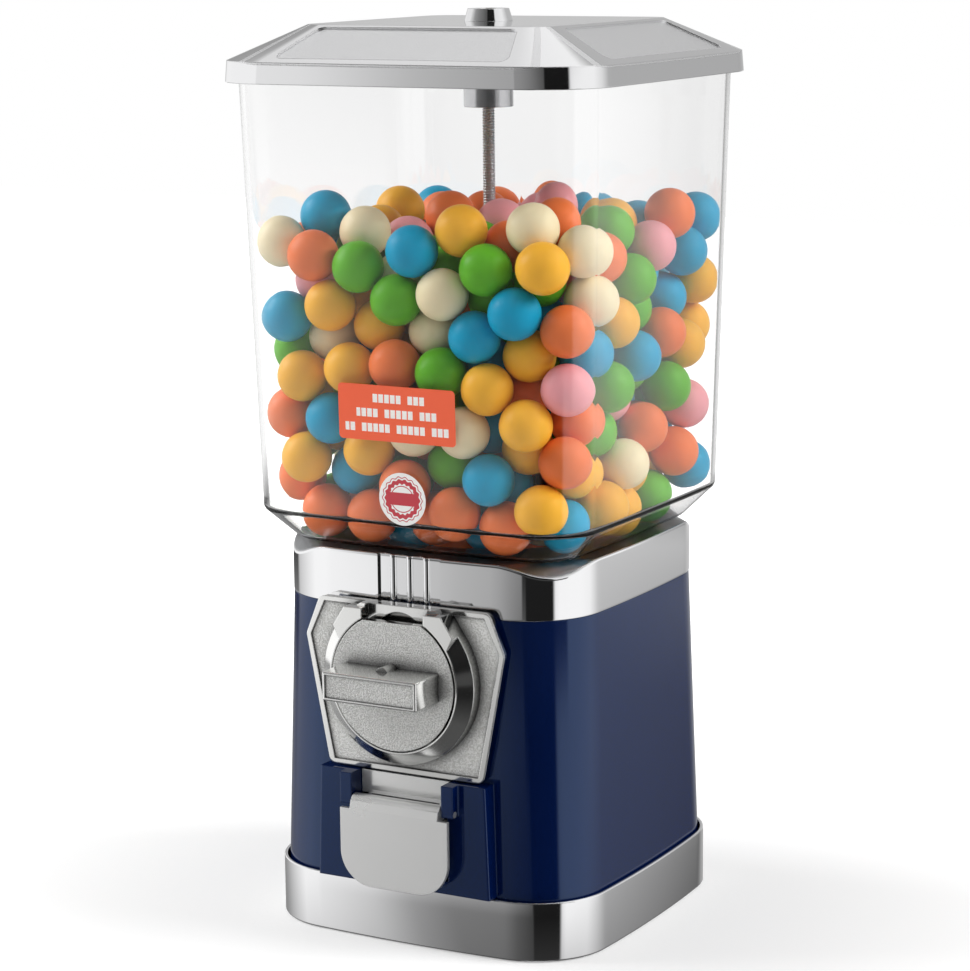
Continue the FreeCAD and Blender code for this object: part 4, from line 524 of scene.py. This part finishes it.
# Lid and lock: a plated cover with pebbled panels on its slopes, held down by the lock on the rod.
# The skirt goes over the globe's rim.
# Plating gives the eye bright slopes and a roof, and panels that scatter the light over 0.9 mm pebbles.
lid_metal, tree, place = new_material("pebbled_chrome_lid")
LID_HALF, LID_RIM, LID_RISE, LID_RUN, LID_SUNK, SUNK_MARGIN = 95.4, 400.6, 15.4, 32.4, 0.9, 0.3
lid_slope = LID_RISE / LID_RUN
panel_below = LID_SUNK * np.hypot(LID_RISE, LID_RUN) / LID_RUN
away = add(tree, "SeparateXYZ", {"Vector": place})
sideways = [add(tree, "Math", [away.outputs[axis]], operation="ABSOLUTE") for axis in "XY"]
reach = add(tree, "Math", sideways, operation="MAXIMUM")
peak = (LID_RIM + LID_HALF * lid_slope) * MM
slope = add(tree, "Math", [reach, -lid_slope, peak], operation="MULTIPLY_ADD")
below = add(tree, "Math", [slope, away.outputs["Z"]], operation="SUBTRACT")
field = add(tree, "Math", [below, panel_below * MM, SUNK_MARGIN * MM], operation="COMPARE")
pebbles = add(tree, "TexNoise", {"Vector": place, "Scale": 1 / (0.9 * MM), "Detail": 0.5})
height = add(tree, "Math", [pebbles, field], operation="MULTIPLY")
rounded = add(tree, "Bevel", {"Radius": 0.7 * MM}, samples=6)
bump = add(tree, "Bump", {"Height": height, "Distance": 0.12 * MM, "Normal": rounded})
rough = add(tree, "MapRange", {"Value": field, "To Min": 0.06, "To Max": 0.34})
metal = add(tree, "BsdfPrincipled", {"Base Color": srgb("#EDEDEE"), "Metallic": 1.0, "Roughness": rough,
                                     "Normal": bump})
add(tree, "OutputMaterial", {"Surface": metal})
dress(lid_metal, "lid")
dress(chrome, "lock_head")
# Satin chrome gives the eye greyer and softer facets than the polished head has.
dress(plating("satin_chrome_plating", "#CBCBCD", 0.14, 0.22, 0.4), "lock_barrel")

# Studio: a white paper sweep that keeps the machine's shadow, and softboxes on both sides of it.
# A ring of grey tones stands 3 m away, for the metal to mirror; the camera doesn't see it.
FLOOR_HALF, LIFT_NEAR, LIFT_FAR, NEAR, FAR = 3.0, 0.28, 0.72, 0.1, 0.7
floor_mesh = bpy.data.meshes.new("floor")
corners = FLOOR_HALF * np.array([(-1, -1, 0), (1, -1, 0), (1, 1, 0), (-1, 1, 0)])
floor_mesh.from_pydata(corners.tolist(), [], [(0, 1, 2, 3)])
floor = bpy.data.objects.new("floor", floor_mesh)
bpy.context.scene.collection.objects.link(floor)
# White paper gives the eye an even white that fades into the background. Mirrored rays pass through it.
white, tree, place = new_material("white_sweep")
path = add(tree, "LightPath")
seen = add(tree, "Math", [path.outputs["Is Camera Ray"], path.outputs["Is Transmission Ray"]],
           operation="MAXIMUM")
middle = add(tree, "VectorMath", [place], operation="LENGTH")
fade = add(tree, "MapRange", {"Value": middle, "From Min": NEAR, "From Max": FAR},
           interpolation_type="SMOOTHSTEP")
glow = add(tree, "Math", [fade, LIFT_FAR, LIFT_NEAR], operation="MULTIPLY_ADD")
lift = add(tree, "Math", [seen, glow], operation="MULTIPLY")
grain = add(tree, "TexNoise", {"Vector": place, "Scale": 1 / (2 * MM)})
tone = add(tree, "Mix", {"Factor": grain, "A": srgb("#DADADA"), "B": srgb("#DEDEDE")}, data_type="RGBA")
paper = add(tree, "BsdfPrincipled", {"Base Color": tone, "Roughness": 0.9, "Specular IOR Level": 0.0,
                                     "Emission Color": (1, 1, 1, 1), "Emission Strength": lift})
mirrored = add(tree, "Math", [path.outputs["Glossy Depth"], 1.0], operation="MINIMUM")
sweep = add(tree, "MixShader", [mirrored, paper, add(tree, "BsdfTransparent")])
add(tree, "OutputMaterial", {"Surface": sweep})
floor_mesh.materials.append(white)
floor.visible_glossy = False

# Tones of the ring, by azimuth (0 in front, 90 to the right) and by height: the lowest rows meet the base,
# the next the collar, the next the cabinet and globe, the next the skirt, the highest the lid.
RING_RADIUS, TONE_STEP = 3.0, 0.5
BASE_TONES = ((-180, .4), (-146, .4), (-136, .3), (-122, .3), (-108, .4), (-60, .95), (-40, .9), (-33, .6),
              (-29, .33), (-25, .2), (0, .1), (22, .05), (24, .01), (60, .01), (64, .8), (70, .95), (105, .9),
              (122, .68), (140, .44), (147, .34), (163, .15), (172, .3))
FOOT_TONES = ((-180, .55), (-150, .55), (-146, .4), (-136, .35), (-108, .35), (-100, .6), (-60, 1), (-40, 1),
              (-33, .86), (-29, .58), (-25, .44), (-20, .36), (0, .24), (21, .12), (23, .012), (60, .012),
              (64, .9), (70, 1), (105, 1), (122, .92), (140, .57), (147, .44), (163, .24), (172, .4))
COLLAR_TONES = ((-180, .55), (-150, .5), (-146, .1), (-136, .05), (-108, .05), (-100, .6), (-60, 1), (-40, 1),
                (-33, .9), (-29, .62), (-25, .49), (-20, .4), (0, .3), (16, .24), (18, .012), (60, .012),
                (64, .9), (70, 1), (105, 1), (122, .97), (140, .62), (165, .5))
GLOBE_TONES = ((-180, .8), (-108, 1), (-60, 1), (-38, 1), (-34, .6), (-29, .16), (-22, .06), (0, .05),
               (60, .05), (80, .1), (83, 1), (148, 1), (151, .75), (155, .4), (160, .3), (165, .3))
SKIRT_TONES = ((-180, .5), (-150, .58), (-146, .55), (-136, .5), (-129, .7), (-122, .95), (-108, 1), (-40, 1),
               (-33, .84), (-29, .54), (-25, .38), (-20, .3), (0, .22), (22, .1), (24, .008), (60, .008),
               (64, .9), (70, 1), (105, 1), (122, .82), (140, .48), (165, .44))
LID_TONES = ((-180, 1), (-165, 1), (-150, .95), (-146, .92), (-136, .8), (-129, .84), (-122, .95), (-108, .6),
             (-100, .5), (-60, .07), (0, .07), (22, .2), (24, .3), (60, .9), (64, 1), (165, 1))
UPPER_TONES = ((-180, .5), (-160, .5), (-140, .33), (-132, .4), (-122, .85), (-75, .8), (-45, .3),
               (-20, .2), (0, .15), (22, .08), (24, .01), (60, .01), (64, .8), (105, .9), (140, .5))
DARK_TONES = ((0, .07),)
TONE_ROWS = ((-14.0, DARK_TONES), (-3.0, DARK_TONES), (-0.85, BASE_TONES), (-0.6, FOOT_TONES),
             (-0.45, COLLAR_TONES), (-0.36, GLOBE_TONES), (0.12, GLOBE_TONES), (0.3, SKIRT_TONES),
             (0.68, SKIRT_TONES), (0.76, UPPER_TONES), (2.7, UPPER_TONES), (3.2, LID_TONES), (7.0, LID_TONES),
             (9.0, DARK_TONES), (40.0, DARK_TONES))
angles = np.arange(-180, 180, TONE_STEP)
tones = np.array([np.interp(angles, *zip(*row), period=360) for height, row in TONE_ROWS])
ring = RING_RADIUS / MM * np.stack([np.sin(np.radians(angles)), -np.cos(np.radians(angles))], axis=-1)
grid = np.stack([np.column_stack([ring, np.full(len(ring), height / MM)]) for height, row in TONE_ROWS])
mesh = loft("tone_ring", grid, closed=False)
mesh.attributes.new("tone", "FLOAT", "POINT").data.foreach_set("value", tones.ravel().astype(np.float32))
# Grey cards give the eye the light and dark bands in the metal. Straight through the globe they are white.
cards, tree, place = new_material("tone_ring")
tone = add(tree, "Attribute", attribute_name="tone").outputs["Fac"]
mirrored = add(tree, "Math", [add(tree, "LightPath").outputs["Glossy Depth"], 1.0], operation="MINIMUM")
level = add(tree, "MapRange", {"Value": mirrored, "To Min": 1.0, "To Max": tone})
add(tree, "OutputMaterial", {"Surface": add(tree, "Emission", {"Strength": level})})
mesh.materials.append(cards)
tone_ring = bpy.data.objects.new("tone_ring", mesh)
bpy.context.scene.collection.objects.link(tone_ring)
tone_ring.visible_camera = False
tone_ring.visible_diffuse = False
tone_ring.visible_shadow = False

SKY_LIGHT, SKY_SEEN = 0.42, 1.0
studio = bpy.data.worlds.new("studio")
bpy.context.scene.world = studio
studio.use_nodes = True
tree = studio.node_tree
tree.nodes.clear()
path = add(tree, "LightPath")
seen = add(tree, "Math", [path.outputs["Is Camera Ray"], path.outputs["Is Glossy Ray"]], operation="MAXIMUM")
seen = add(tree, "Math", [seen, path.outputs["Is Transmission Ray"]], operation="MAXIMUM")
level = add(tree, "MapRange", {"Value": seen, "To Min": SKY_LIGHT, "To Max": SKY_SEEN})
sky = add(tree, "Background", {"Color": (1, 1, 1, 1), "Strength": level})
add(tree, "OutputWorld", {"Surface": sky})

LAMP_SIZE, LAMP_AIM = 1.2, Vector((0, 0, 0.25))
LEFT, RIGHT = Vector((-1.9, -0.6, 1.5)), Vector((1.9, 0.5, 1.4))
for name, spot, power, mirrored in (("left_softbox", LEFT, 29.0, False), ("left_sheen", LEFT, 19.0, True),
                                    ("right_softbox", RIGHT, 40.0, False)):
    lamp = bpy.data.lights.new(name, "AREA")
    lamp.size = LAMP_SIZE
    lamp.energy = power
    softbox = bpy.data.objects.new(name, lamp)
    softbox.location = spot
    softbox.rotation_euler = (LAMP_AIM - spot).to_track_quat("-Z", "Y").to_euler()
    softbox.visible_glossy = mirrored
    bpy.context.scene.collection.objects.link(softbox)

# Camera: it stands where the machine's edges in the photograph put it, front right and a little above.
# The photograph is 970 by 971 pixels, and its taller side spans the sensor.
AZIMUTH, PITCH, ROLL, YAW = np.radians((28.95, 10.781, -0.593, 0.156))
CAMERA_DISTANCE, CAMERA_HEIGHT = 1390.45 * MM, 464.6 * MM
FOCAL_PIXELS, PHOTO_HEIGHT, SENSOR_MM = 3009.93, 971, 36.0
spot = Vector((np.sin(AZIMUTH) * CAMERA_DISTANCE, -np.cos(AZIMUTH) * CAMERA_DISTANCE, CAMERA_HEIGHT))
ahead = Vector((-np.sin(AZIMUTH) * np.cos(PITCH), np.cos(AZIMUTH) * np.cos(PITCH), -np.sin(PITCH)))
ahead = Matrix.Rotation(YAW, 3, "Z") @ ahead
right = ahead.cross(Vector((0, 0, 1))).normalized()
up = right.cross(ahead)
lens = bpy.data.cameras.new("camera")
lens.sensor_width = SENSOR_MM
lens.lens = FOCAL_PIXELS * SENSOR_MM / PHOTO_HEIGHT
camera = bpy.data.objects.new("camera", lens)
turned = Matrix((right * np.cos(ROLL) + up * np.sin(ROLL), up * np.cos(ROLL) - right * np.sin(ROLL), -ahead))
camera.matrix_world = Matrix.Translation(spot) @ turned.transposed().to_4x4()
bpy.context.scene.collection.objects.link(camera)
bpy.context.scene.camera = camera
bpy.context.scene.view_settings.view_transform = "Standard"
